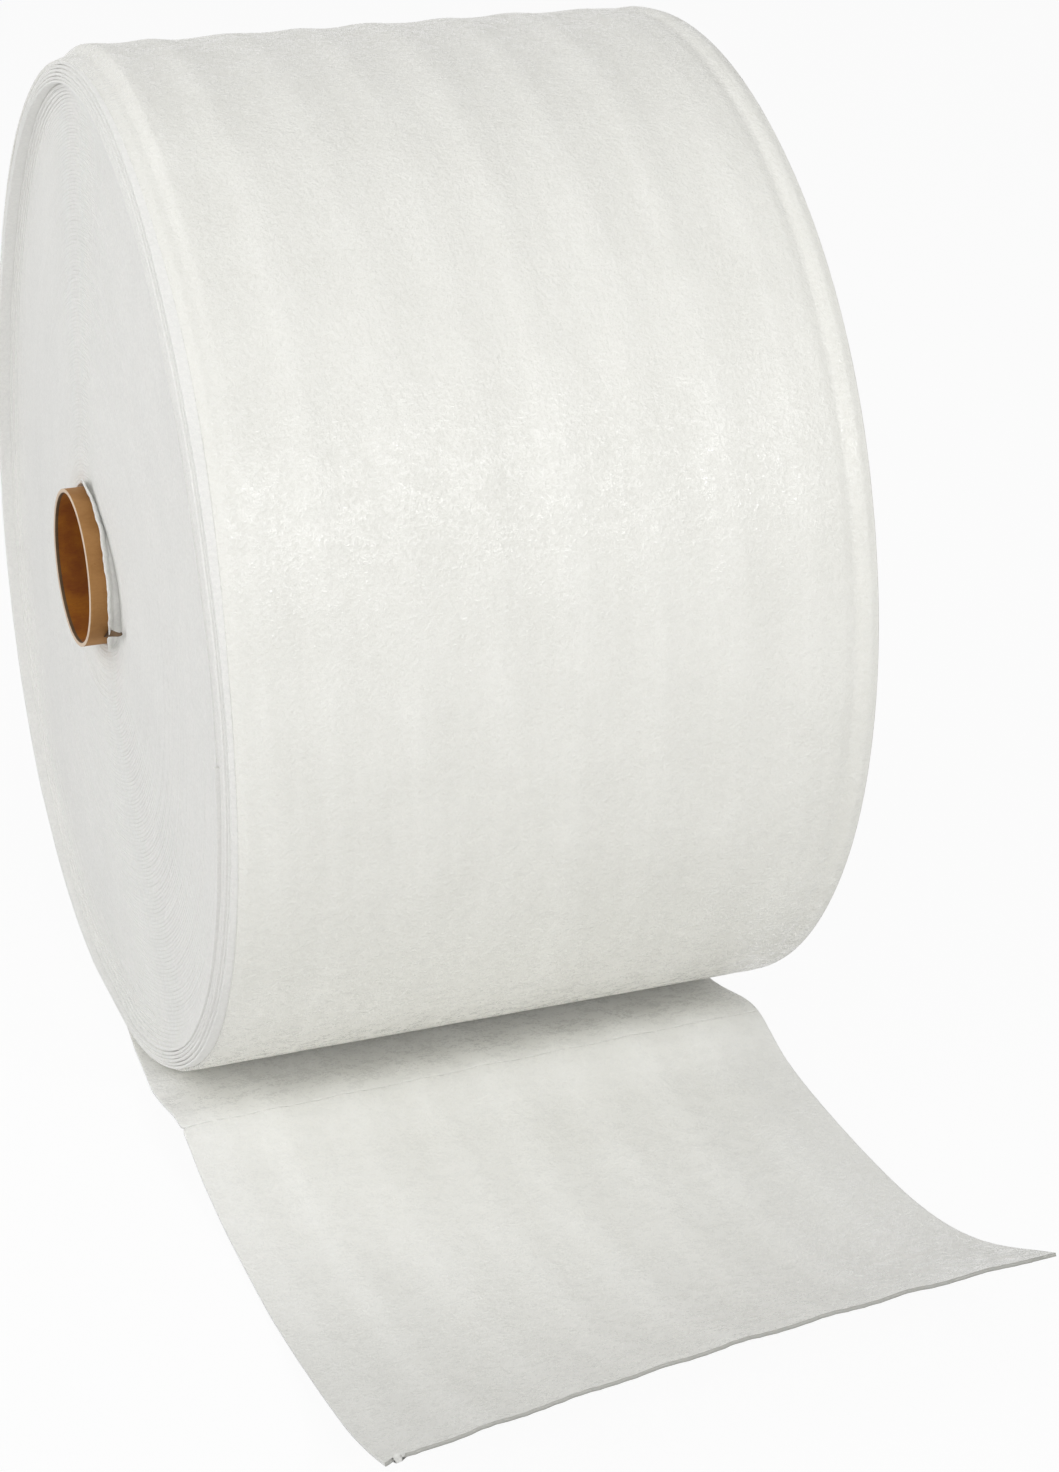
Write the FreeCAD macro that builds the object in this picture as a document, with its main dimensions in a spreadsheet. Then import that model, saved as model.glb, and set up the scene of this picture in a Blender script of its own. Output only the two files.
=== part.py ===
import FreeCAD, Part
import math
import os

import Sketcher

# A roll of thin closed-cell polyethylene foam, wound on a paperboard core and
# perforated across at every sheet. The roll lies on its side and the last sheet
# is drawn out in front of it. Millimetres. The origin is on the winding axis at
# the middle of the web's width: +X along the core, -Y the way the web runs out,
# +Z up.

SIZES = [
    # web
    ("web_width", 304.8, "width of the web, and so of every turn"),
    ("gauge", 1.6, "thickness of the web"),
    ("sheet_length", 304.8, "length of web between two perforation lines"),
    # wound roll
    ("roll_radius", 258.0, "outside of the last turn"),
    ("rest_width", 76.0, "width of the flat spot that the roll lies on"),
    ("loose_depth", 13.0, "radial depth of the last turns, which sit aside from the rest"),
    ("loose_slip", 5.0, "how far those under the very last turn have slid towards -X"),
    ("start_lap", 6.0, "how far the start of the very last turn reaches past the axis"),
    ("turn_shift", 6.0, "how far the turns under them all are pushed towards +X"),
    ("core_creep", 11.6, "how far the turns at the core have crept back towards -X"),
    ("rim_round", 4.5, "rounding of the slid turns' left edge, which is soft and bends over"),
    ("crushed_edge", 3.0, "bevel of the pushed-out edge under them"),
    # core
    ("core_bore", 76.2, "inside diameter of the paperboard tube"),
    ("core_wall", 2.0, "wall of the tube"),
    ("core_over_length", 6.2, "how much longer the tube is cut than the web is wide"),
    ("core_stand_out", 15.6, "how far the tube reaches past the last turns' left edge"),
    ("core_grip", 0.05, "clearance between the tube and the first turn"),
    ("core_edge", 0.4, "broken edge of the cut tube"),
    ("mouth_radius", 45.0, "opened mouth of the first turns at the left"),
    ("mouth_offset", 6.5, "how far that mouth is pulled towards the front"),
    ("mouth_depth", 16.0, "depth of that mouth"),
    # drawn-out sheet
    ("lay_length", 78.0, "web lying on the floor between the axis and the first fold"),
    ("fold_height", 14.5, "height of the fold at the perforation line"),
    ("rise_angle", 11.5, "slope of the web up to the fold, in degrees"),
    ("fall_angle", 11.0, "slope of the web down from it, in degrees"),
    ("fold_round", 7.0, "radius over the fold"),
    ("foot_round", 60.0, "radius where the slopes run out on the floor"),
    ("curl_radius", 258.0, "winding curl that the free end keeps"),
    ("curl_angle", 36.0, "angle that the curled end turns through, in degrees"),
    # perforation
    ("slit_length", 6.0, "length of one knife cut"),
    ("slit_width", 0.4, "how far one cut stands open"),
    ("slit_pitch", 8.0, "from one cut to the next, the rest being the tie"),
]


def make_sheet(doc):
    """Puts every driving size in a spreadsheet cell that carries its name."""
    sheet = doc.addObject("Spreadsheet::Sheet", "Sizes")
    for row, (alias, value, note) in enumerate(SIZES, start=1):
        sheet.set(f"A{row}", alias)
        sheet.set(f"B{row}", str(value))
        sheet.set(f"C{row}", note)
        sheet.setAlias(f"B{row}", alias)
    doc.recompute()
    return sheet


def plane(body, role):
    """The body's own origin plane with that role."""
    return next(feature for feature in body.Origin.OriginFeatures if feature.Role == role)


def new_sketch(body, name, role, offset=None):
    """A sketch of the body on one of its origin planes, moved along its normal by an expression."""
    sketch = body.newObject("Sketcher::SketchObject", name)
    sketch.AttachmentSupport = [(plane(body, role), "")]
    sketch.MapMode = "FlatFace"
    if offset:
        sketch.setExpression("AttachmentOffset.Base.z", offset)
    return sketch


def bind(sketch, constraint, name, expression):
    """Adds a dimension to a sketch, names it and ties its value to an expression."""
    index = sketch.addConstraint(constraint)
    sketch.renameConstraint(index, name)
    sketch.setExpression(f"Constraints.{name}", expression)


def closed_polygon(sketch, points):
    """Joins points by lines, end to end, and returns the index of the first line."""
    first = sketch.GeometryCount
    count = len(points)
    for start, end in zip(points, points[1:] + points[:1]):
        sketch.addGeometry(Part.LineSegment(FreeCAD.Vector(*start, 0), FreeCAD.Vector(*end, 0)))
    for side in range(count):
        following = first + (side + 1) % count
        sketch.addConstraint(Sketcher.Constraint("Coincident", first + side, 2, following, 1))
    return first


def add_feature(body, kind, name, profile):
    """A PartDesign feature of the body, made from a sketch."""
    feature = body.newObject(f"PartDesign::{kind}", name)
    feature.Profile = profile
    return feature


class Roll:
    """The wound roll and its drawn-out sheet, one continuous web of foam."""

    axis_height = "sqrt(Sizes.roll_radius ^ 2 - (Sizes.rest_width / 2) ^ 2)"
    bore_radius = "Sizes.core_bore / 2 + Sizes.core_wall + Sizes.core_grip"
    loose_radius = "Sizes.roll_radius - Sizes.loose_depth"
    left_face_at_core = "Sizes.web_width / 2 - Sizes.turn_shift + Sizes.core_creep"

    def __init__(self, doc, sheet):
        self.doc = doc
        self.size = {alias: float(sheet.get(alias)) for alias, _, _ in SIZES}
        self.body = doc.addObject("PartDesign::Body", "foam_web")
        self.body.Label = "foam_web"
        half_rest = self.size["rest_width"] / 2
        self.height = math.sqrt(self.size["roll_radius"] ** 2 - half_rest ** 2)

    def build(self):
        """Makes the web's features in order and returns the body."""
        self.inner_turns()
        self.slid_turns()
        self.last_turn()
        self.open_mouth()
        self.drawn_sheet()
        self.perforate()
        return self.body

    def inner_turns(self):
        """All the turns under the last few, telescoped so that the side faces are shallow cones.

        The edge that they push out at the right is crushed to a short bevel.
        """
        v = self.size
        half, shift, creep = v["web_width"] / 2, v["turn_shift"], v["core_creep"]
        crush = v["crushed_edge"]
        inner = v["core_bore"] / 2 + v["core_wall"] + v["core_grip"]
        outer = v["roll_radius"] - v["loose_depth"]
        lean = creep / (outer - inner)
        sketch = new_sketch(self.body, "TurnsProfile", "XZ_Plane")
        left = closed_polygon(sketch, [
            (shift - creep - half, inner), (shift - half, outer), (shift + half - crush, outer),
            (shift + half - crush * lean, outer - crush), (shift - creep + half, inner)])
        top, bevel, right, low = range(left + 1, left + 5)
        sketch.addConstraint(Sketcher.Constraint("Horizontal", top))
        sketch.addConstraint(Sketcher.Constraint("Horizontal", low))
        sketch.addConstraint(Sketcher.Constraint("Parallel", left, right))
        bind(sketch, Sketcher.Constraint("DistanceY", -1, 1, left, 1, inner), "bore", self.bore_radius)
        bind(sketch, Sketcher.Constraint("DistanceY", -1, 1, top, 1, outer), "outside", self.loose_radius)
        bind(sketch, Sketcher.Constraint("DistanceX", left, 1, -1, 1, half - shift + creep),
             "left_at_core", self.left_face_at_core)
        bind(sketch, Sketcher.Constraint("DistanceX", top, 1, -1, 1, half - shift),
             "left_at_rim", "Sizes.web_width / 2 - Sizes.turn_shift")
        bind(sketch, Sketcher.Constraint("DistanceX", low, 2, low, 1, 2 * half), "width", "Sizes.web_width")
        bind(sketch, Sketcher.Constraint("DistanceY", bevel, 2, bevel, 1, crush),
             "crush", "Sizes.crushed_edge")
        bind(sketch, Sketcher.Constraint("DistanceX", top, 1, top, 2, 2 * half - crush),
             "top", "Sizes.web_width - Sizes.crushed_edge")
        turns = add_feature(self.body, "Revolution", "InnerTurns", sketch)
        turns.ReferenceAxis = (sketch, ["H_Axis"])
        turns.Angle = 360
        self.doc.recompute()

    def slid_turns(self):
        """The turns under the very last one, which have slid out at the left and stand proud there."""
        v = self.size
        sketch = new_sketch(self.body, "SlidOutline", "YZ_Plane", "-Sizes.loose_slip")
        self.spiral_outline(sketch, "slid", 1)
        inner = sketch.addGeometry(Part.Circle(
            FreeCAD.Vector(0, 0, 0), FreeCAD.Vector(0, 0, 1), v["roll_radius"] - v["loose_depth"]))
        sketch.addConstraint(Sketcher.Constraint("Coincident", inner, 3, -1, 1))
        bind(sketch, Sketcher.Constraint("Radius", inner, v["roll_radius"] - v["loose_depth"]),
             "inside", self.loose_radius)
        turns = add_feature(self.body, "Pad", "SlidTurns", sketch)
        turns.SideType = "Symmetric"
        turns.setExpression("Length", "Sizes.web_width")
        self.doc.recompute()
        left = -v["web_width"] / 2 - v["loose_slip"]
        edge = next(
            f"Edge{number}" for number, edge in enumerate(turns.Shape.Edges, start=1)
            if isinstance(edge.Curve, Part.Circle) and edge.BoundBox.XLength < 1e-6
            and abs(edge.Curve.Center.x - left) < 1e-6
            and abs(edge.Curve.Radius - v["roll_radius"] + v["gauge"]) < 1e-6)
        rim = self.body.newObject("PartDesign::Fillet", "RoundedRim")
        rim.Base = (turns, [edge])
        rim.setExpression("Radius", "Sizes.rim_round")
        self.doc.recompute()

    def last_turn(self):
        """The very last turn, one gauge thick all the way round the turns under it."""
        sketch = new_sketch(self.body, "LastTurnSection", "YZ_Plane")
        self.spiral_outline(sketch, "outer", 0)
        self.spiral_outline(sketch, "inner", 1)
        turn = add_feature(self.body, "Pad", "LastTurn", sketch)
        turn.SideType = "Symmetric"
        turn.setExpression("Length", "Sizes.web_width")
        self.doc.recompute()

    def spiral_outline(self, sketch, name, under):
        """Draws one turn of spiral, so many gauges under the outside of the roll.

        Two half circles, half a gauge apart, meet at the top. At the bottom the
        front one therefore ends one gauge above the back one, where the web
        leaves the roll. Both are pressed flat where the roll rests. Under the
        outside, the step between them stands back by the lap.
        """
        v = self.size
        gauge, rest = v["gauge"], v["rest_width"] / 2
        radius = v["roll_radius"] - under * gauge
        floor = under * gauge - self.height
        lap = v["start_lap"] if under else 0.0
        front_radius = radius - gauge / 2
        back_rest = math.sqrt(radius ** 2 - floor ** 2)
        front_rest = math.sqrt(front_radius ** 2 - (floor + gauge / 2) ** 2)
        up = FreeCAD.Vector(0, 0, 1)
        back_centre, front_centre = FreeCAD.Vector(0, 0, 0), FreeCAD.Vector(0, gauge / 2, 0)
        back = sketch.addGeometry(Part.ArcOfCircle(
            Part.Circle(back_centre, up, radius), math.atan2(floor, back_rest), math.pi / 2))
        front = sketch.addGeometry(Part.ArcOfCircle(
            Part.Circle(front_centre, up, front_radius),
            math.pi / 2, 2 * math.pi + math.atan2(floor + gauge / 2, -front_rest)))
        corners = [(-front_rest, floor + gauge), (lap, floor + gauge), (lap, floor), (back_rest, floor)]
        front_flat, step, back_flat = (
            sketch.addGeometry(Part.LineSegment(FreeCAD.Vector(*a, 0), FreeCAD.Vector(*b, 0)))
            for a, b in zip(corners, corners[1:]))
        for one, one_end, other, other_end in (
            (back, 2, front, 1), (front, 2, front_flat, 1), (front_flat, 2, step, 1),
            (step, 2, back_flat, 1), (back_flat, 2, back, 1), (back, 3, -1, 1),
        ):
            sketch.addConstraint(Sketcher.Constraint("Coincident", one, one_end, other, other_end))
        sketch.addConstraint(Sketcher.Constraint("PointOnObject", back, 2, -2))
        sketch.addConstraint(Sketcher.Constraint("PointOnObject", front, 3, -2))
        sketch.addConstraint(Sketcher.Constraint("Horizontal", front_flat))
        sketch.addConstraint(Sketcher.Constraint("Vertical", step))
        sketch.addConstraint(Sketcher.Constraint("Horizontal", back_flat))
        if under:
            bind(sketch, Sketcher.Constraint("DistanceX", -1, 1, step, 1, lap), f"{name}_lap",
                 "Sizes.start_lap")
        else:
            sketch.addConstraint(Sketcher.Constraint("PointOnObject", step, 1, -2))
        bind(sketch, Sketcher.Constraint("Radius", back, radius), f"{name}_radius",
             f"Sizes.roll_radius - {under} * Sizes.gauge")
        bind(sketch, Sketcher.Constraint("DistanceY", -1, 1, front, 3, gauge / 2), f"{name}_half_step",
             "Sizes.gauge / 2")
        bind(sketch, Sketcher.Constraint("DistanceY", step, 2, -1, 1, -floor), f"{name}_floor",
             f"{self.axis_height} - {under} * Sizes.gauge")
        bind(sketch, Sketcher.Constraint("DistanceY", step, 2, step, 1, gauge), f"{name}_step",
             "Sizes.gauge")

    def open_mouth(self):
        """Opens the first turns at the left, more at the front, where they stand off the tube."""
        v = self.size
        tube = v["core_bore"] / 2 + v["core_wall"] + v["core_grip"]
        face = v["web_width"] / 2 - v["turn_shift"] + v["core_creep"]
        sketch = new_sketch(self.body, "MouthProfile", "XY_Plane")
        offset, wide, narrow = v["mouth_offset"], v["mouth_radius"], tube - v["mouth_offset"]
        left, right = -face, v["mouth_depth"] - face
        g = closed_polygon(sketch, [(left, -offset), (right, -offset),
                                    (right, -offset - narrow), (left, -offset - wide)])
        sketch.addConstraint(Sketcher.Constraint("Horizontal", g))
        sketch.addConstraint(Sketcher.Constraint("Vertical", g + 1))
        sketch.addConstraint(Sketcher.Constraint("Vertical", g + 3))
        bind(sketch, Sketcher.Constraint("DistanceX", g, 1, -1, 1, face), "face", self.left_face_at_core)
        bind(sketch, Sketcher.Constraint("DistanceX", g, 1, g, 2, v["mouth_depth"]),
             "depth", "Sizes.mouth_depth")
        bind(sketch, Sketcher.Constraint("DistanceY", g, 1, -1, 1, offset), "offset", "Sizes.mouth_offset")
        bind(sketch, Sketcher.Constraint("DistanceY", g + 3, 1, g + 3, 2, wide), "wide",
             "Sizes.mouth_radius")
        bind(sketch, Sketcher.Constraint("DistanceY", g + 1, 2, g + 1, 1, narrow), "narrow",
             f"{self.bore_radius} - Sizes.mouth_offset")
        axis = sketch.addGeometry(Part.LineSegment(
            FreeCAD.Vector(left, -offset, 0), FreeCAD.Vector(right, -offset, 0)), True)
        sketch.addConstraint(Sketcher.Constraint("Coincident", axis, 1, g, 1))
        sketch.addConstraint(Sketcher.Constraint("Coincident", axis, 2, g, 2))
        mouth = add_feature(self.body, "Groove", "OpenedMouth", sketch)
        mouth.ReferenceAxis = (sketch, ["Axis0"])
        mouth.Angle = 360
        self.doc.recompute()

    def drawn_sheet(self):
        """The last sheet: flat on the floor, folded up at its perforation, curled at the free end."""
        section = new_sketch(self.body, "WebSection", "XZ_Plane")
        v = self.size
        half, floor, gauge = v["web_width"] / 2, -self.height, v["gauge"]
        g = closed_polygon(section, [(-half, floor), (half, floor),
                                     (half, floor + gauge), (-half, floor + gauge)])
        for line in (g, g + 2):
            section.addConstraint(Sketcher.Constraint("Horizontal", line))
        for line in (g + 1, g + 3):
            section.addConstraint(Sketcher.Constraint("Vertical", line))
        bind(section, Sketcher.Constraint("DistanceX", g, 1, g, 2, 2 * half), "width", "Sizes.web_width")
        bind(section, Sketcher.Constraint("DistanceX", g, 1, -1, 1, half), "left", "Sizes.web_width / 2")
        bind(section, Sketcher.Constraint("DistanceY", g + 1, 1, g + 1, 2, gauge), "gauge", "Sizes.gauge")
        bind(section, Sketcher.Constraint("DistanceY", g, 1, -1, 1, -floor), "floor", self.axis_height)
        path = self.sheet_path()
        self.doc.recompute()
        sheet = add_feature(self.body, "AdditivePipe", "DrawnSheet", section)
        sheet.Spine = (path, [])
        self.doc.recompute()

    def sheet_path(self):
        """The underside of the drawn-out sheet, from under the axis to the torn end.

        Every bend is a tangent arc given by its radius and the angle it turns
        through, so the web keeps its length: from the fold to the torn end it
        is one sheet long.
        """
        v = self.size
        rise, fall, curl = (math.radians(v[name]) for name in ("rise_angle", "fall_angle", "curl_angle"))
        foot, fold = v["foot_round"], v["fold_round"]
        climb = (v["fold_height"] - (foot + fold) * (1 - math.cos(rise))) / math.sin(rise)
        descent = (v["fold_height"] - (foot + fold) * (1 - math.cos(fall))) / math.sin(fall)
        rest = v["sheet_length"] - (foot + fold) * fall - descent - v["curl_radius"] * curl
        legs = [
            ("line", v["lay_length"]), ("arc", foot, rise), ("line", climb), ("arc", -fold, rise + fall),
            ("line", descent), ("arc", foot, fall), ("line", rest), ("arc", v["curl_radius"], curl),
        ]
        sketch = new_sketch(self.body, "SheetPath", "YZ_Plane")
        shapes, joints = self.draw_legs(sketch, legs, FreeCAD.Vector(0, -self.height, 0))
        for (one, one_end, _), (other, _, other_end) in zip(joints, joints[1:]):
            sketch.addConstraint(Sketcher.Constraint("Tangent", one, one_end, other, other_end))
        lay, foot_up, _, crest, _, foot_down, flat, curled = shapes
        sketch.addConstraint(Sketcher.Constraint("PointOnObject", lay, 1, -2))
        sketch.addConstraint(Sketcher.Constraint("Horizontal", lay))
        sketch.addConstraint(Sketcher.Constraint("PointOnObject", flat, 1, lay))
        bind(sketch, Sketcher.Constraint("DistanceY", lay, 1, -1, 1, self.height), "floor",
             self.axis_height)
        bind(sketch, Sketcher.Constraint("DistanceX", lay, 2, lay, 1, v["lay_length"]), "lay",
             "Sizes.lay_length")
        for arc, radius, name, size in (
            (foot_up, foot, "foot_up", "foot_round"), (crest, fold, "crest", "fold_round"),
            (foot_down, foot, "foot_down", "foot_round"),
            (curled, v["curl_radius"], "curl", "curl_radius"),
        ):
            bind(sketch, Sketcher.Constraint("Radius", arc, radius), name, f"Sizes.{size}")
        for arc, angle, name, size in (
            (foot_up, rise, "rise", "Sizes.rise_angle"),
            (crest, rise + fall, "over", "Sizes.rise_angle + Sizes.fall_angle"),
            (foot_down, fall, "fall", "Sizes.fall_angle"),
            (curled, curl, "turn", "Sizes.curl_angle"),
        ):
            bind(sketch, Sketcher.Constraint("Angle", arc, angle), name, f"({size}) * 1 deg")
        bind(sketch, Sketcher.Constraint("DistanceY", lay, 1, crest, 3, v["fold_height"] - fold),
             "fold_centre", "Sizes.fold_height - Sizes.fold_round")
        descent_text = ("(Sizes.fold_height - (Sizes.foot_round + Sizes.fold_round)"
                        " * (1 - cos(Sizes.fall_angle * 1 deg))) / sin(Sizes.fall_angle * 1 deg)")
        bind(sketch, Sketcher.Constraint("DistanceX", flat, 2, flat, 1, rest), "flat",
             "Sizes.sheet_length - (Sizes.foot_round + Sizes.fold_round) * Sizes.fall_angle * pi / 180"
             f" - {descent_text} - Sizes.curl_radius * Sizes.curl_angle * pi / 180")
        crest_run = sketch.addConstraint(Sketcher.Constraint("DistanceX", crest, 3, lay, 1, 1.0))
        sketch.renameConstraint(crest_run, "crest_run")
        sketch.setDriving(crest_run, False)
        return sketch

    @staticmethod
    def draw_legs(sketch, legs, start):
        """Draws lines and arcs end to end, heading towards -Y, and returns them with their ends.

        A leg is ("line", length) or ("arc", radius, angle). A positive radius
        bends the path upwards and a negative one bends it down.
        """
        up = FreeCAD.Vector(0, 0, 1)
        point, heading = start, math.pi
        shapes, joints = [], []
        for leg in legs:
            if leg[0] == "line":
                end = point + FreeCAD.Vector(math.cos(heading), math.sin(heading), 0) * leg[1]
                index = sketch.addGeometry(Part.LineSegment(point, end))
                joints.append((index, 2, 1))
                point = end
            else:
                radius, angle = abs(leg[1]), leg[2]
                turn = -1 if leg[1] > 0 else 1
                to_centre = heading + turn * math.pi / 2
                centre = point + FreeCAD.Vector(math.cos(to_centre), math.sin(to_centre), 0) * radius
                first = to_centre + math.pi
                last = first + turn * angle
                circle = Part.Circle(centre, up, radius)
                index = sketch.addGeometry(Part.ArcOfCircle(circle, min(first, last), max(first, last)))
                joints.append((index, 1, 2) if turn < 0 else (index, 2, 1))
                heading += turn * angle
                point = centre + FreeCAD.Vector(math.cos(last), math.sin(last), 0) * radius
            shapes.append(index)
        return shapes, joints

    def perforate(self):
        """The row of knife cuts across the web on top of the fold."""
        v = self.size
        count = "floor(Sizes.web_width / Sizes.slit_pitch)"
        below = "Sizes.gauge"
        sketch = new_sketch(self.body, "Slit", "XY_Plane", f"-({self.axis_height}) - {below}")
        first = -(math.floor(v["web_width"] / v["slit_pitch"]) - 1) / 2 * v["slit_pitch"]
        run = float(self.body.Document.getObject("SheetPath").getDatum("crest_run").Value)
        half_length, half_width = v["slit_length"] / 2, v["slit_width"] / 2
        g = closed_polygon(sketch, [
            (first - half_length, -run - half_width), (first + half_length, -run - half_width),
            (first + half_length, -run + half_width), (first - half_length, -run + half_width)])
        for line in (g, g + 2):
            sketch.addConstraint(Sketcher.Constraint("Horizontal", line))
        for line in (g + 1, g + 3):
            sketch.addConstraint(Sketcher.Constraint("Vertical", line))
        bind(sketch, Sketcher.Constraint("DistanceX", g, 1, g, 2, 2 * half_length), "cut",
             "Sizes.slit_length")
        bind(sketch, Sketcher.Constraint("DistanceY", g + 1, 1, g + 1, 2, 2 * half_width), "open",
             "Sizes.slit_width")
        bind(sketch, Sketcher.Constraint("DistanceX", g, 1, -1, 1, half_length - first), "first",
             f"({count} - 1) / 2 * Sizes.slit_pitch + Sizes.slit_length / 2")
        bind(sketch, Sketcher.Constraint("DistanceY", g, 1, -1, 1, run + half_width), "place",
             "SheetPath.Constraints.crest_run + Sizes.slit_width / 2 * 1 mm")
        slit = add_feature(self.body, "Pocket", "OneSlit", sketch)
        slit.Type = "Length"
        slit.Reversed = True
        slit.setExpression("Length", f"Sizes.fold_height + 2 * Sizes.gauge + {below}")
        self.doc.recompute()
        row = self.body.newObject("PartDesign::LinearPattern", "PerforationRow")
        row.Originals = [slit]
        row.Direction = (sketch, ["H_Axis"])
        row.Mode = "Spacing"
        row.setExpression("Offset", "Sizes.slit_pitch")
        row.setExpression("Occurrences", count)
        self.body.Tip = row
        self.doc.recompute()


def make_core(doc, sheet):
    """The paperboard tube, which has crept out of the roll at the left."""
    body = doc.addObject("PartDesign::Body", "core_tube")
    body.Label = "core_tube"
    bore = float(sheet.get("core_bore")) / 2
    wall = float(sheet.get("core_wall"))
    sketch = new_sketch(body, "TubeSection", "YZ_Plane", "-Sizes.web_width / 2 - Sizes.core_stand_out")
    centre, up = FreeCAD.Vector(0, 0, 0), FreeCAD.Vector(0, 0, 1)
    inner = sketch.addGeometry(Part.Circle(centre, up, bore))
    outer = sketch.addGeometry(Part.Circle(centre, up, bore + wall))
    for circle in (inner, outer):
        sketch.addConstraint(Sketcher.Constraint("Coincident", circle, 3, -1, 1))
    bind(sketch, Sketcher.Constraint("Radius", inner, bore), "bore", "Sizes.core_bore / 2")
    bind(sketch, Sketcher.Constraint("Radius", outer, bore + wall), "outside",
         "Sizes.core_bore / 2 + Sizes.core_wall")
    tube = add_feature(body, "Pad", "Tube", sketch)
    tube.setExpression("Length", "Sizes.web_width + Sizes.core_over_length")
    doc.recompute()
    edges = body.newObject("PartDesign::Chamfer", "BrokenEdges")
    rims = [f"Edge{number}" for number, edge in enumerate(tube.Shape.Edges, start=1)
            if isinstance(edge.Curve, Part.Circle)]
    edges.Base = (tube, rims)
    edges.setExpression("Size", "Sizes.core_edge")
    doc.recompute()
    return body


def check(doc, bodies):
    """Stops if any object failed to compute or any sub-part has no sound shape."""
    for item in doc.Objects:
        if {"Invalid", "Error"} & set(item.State):
            raise RuntimeError(f"{item.Name} did not compute: {item.State}")
    for body in bodies:
        if body.Shape.isNull() or not body.Shape.isValid():
            raise RuntimeError(f"{body.Label} has no valid shape")


def main():
    """Builds the document and writes one STEP file for each sub-part."""
    doc = FreeCAD.newDocument("foam_wrap_roll")
    sheet = make_sheet(doc)
    bodies = [Roll(doc, sheet).build(), make_core(doc, sheet)]
    doc.recompute()
    check(doc, bodies)
    os.makedirs("parts", exist_ok=True)
    for body in bodies:
        body.Shape.exportStep(f"parts/{body.Label}.step")
        print(body.Label, len(body.Shape.Solids), "solid,", round(body.Shape.Volume), "mm3")


main()
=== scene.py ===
"""Looks of a foam wrap roll, built round its packed construction model.

One thin web of white foam is wound on a paperboard tube. The roll lies on its
side and the last sheet is drawn out in front of it. Metres throughout: +X along
the tube, -Y the way the sheet runs out, +Z up, the origin on the winding axis.
"""

import logging
import math
from collections.abc import Mapping, Sequence
from dataclasses import dataclass
from enum import Enum
from functools import cache, cached_property

import bpy
import numpy as np
from mathutils import Matrix, Vector


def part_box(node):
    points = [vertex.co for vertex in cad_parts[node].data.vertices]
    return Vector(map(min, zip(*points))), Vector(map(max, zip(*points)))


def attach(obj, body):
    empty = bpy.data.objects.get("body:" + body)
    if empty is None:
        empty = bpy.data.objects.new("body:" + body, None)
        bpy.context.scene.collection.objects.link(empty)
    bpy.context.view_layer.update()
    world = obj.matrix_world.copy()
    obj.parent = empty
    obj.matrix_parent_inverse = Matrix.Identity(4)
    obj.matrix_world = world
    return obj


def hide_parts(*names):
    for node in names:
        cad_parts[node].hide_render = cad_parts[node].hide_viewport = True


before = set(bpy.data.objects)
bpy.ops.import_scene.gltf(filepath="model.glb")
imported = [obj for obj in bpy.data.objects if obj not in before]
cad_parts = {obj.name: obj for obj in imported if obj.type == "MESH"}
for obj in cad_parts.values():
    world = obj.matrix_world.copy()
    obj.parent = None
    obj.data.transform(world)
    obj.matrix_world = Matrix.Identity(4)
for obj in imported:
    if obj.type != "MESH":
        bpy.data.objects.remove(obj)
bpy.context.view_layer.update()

TUBE_LOW, TUBE_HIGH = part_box("core_tube")
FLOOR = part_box("foam_web")[0].z
MM = 0.001
TURN = 2.0 * math.pi
CRUSH_POWER = 9.0

logging.basicConfig(level=logging.INFO, format="%(message)s")
LOG = logging.getLogger("foam_wrap_roll")


class Slot(Enum):
    """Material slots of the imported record."""

    FOAM = "foam"
    PAPERBOARD = "paperboard"


# ---------------------------------------------------------------- node trees


class Value:
    """A number carried by one output socket; arithmetic on it adds Math nodes."""

    def __init__(self, graph: "Graph", socket: bpy.types.NodeSocket) -> None:
        """Keeps the output socket and the builder of its tree."""
        self.graph = graph
        self.socket = socket

    def math(self, operation: str, *others: "Value | float") -> "Value":
        """The result of a Math node that takes this value first."""
        return self.graph.math(operation, self, *others)

    def __add__(self, other: "Value | float") -> "Value":
        """The sum."""
        return self.math("ADD", other)

    __radd__ = __add__

    def __sub__(self, other: "Value | float") -> "Value":
        """The difference."""
        return self.math("SUBTRACT", other)

    def __rsub__(self, other: "Value | float") -> "Value":
        """The difference, the other way round."""
        return self.graph.math("SUBTRACT", other, self)

    def __mul__(self, other: "Value | float") -> "Value":
        """The product."""
        return self.math("MULTIPLY", other)

    __rmul__ = __mul__

    def __truediv__(self, other: "Value | float") -> "Value":
        """The quotient."""
        return self.math("DIVIDE", other)

    def __rtruediv__(self, other: "Value | float") -> "Value":
        """The quotient, the other way round."""
        return self.graph.math("DIVIDE", other, self)

    def clamped(self) -> "Value":
        """The value, held between 0 and 1."""
        return self.math("MINIMUM", 1.0).math("MAXIMUM", 0.0)


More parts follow.
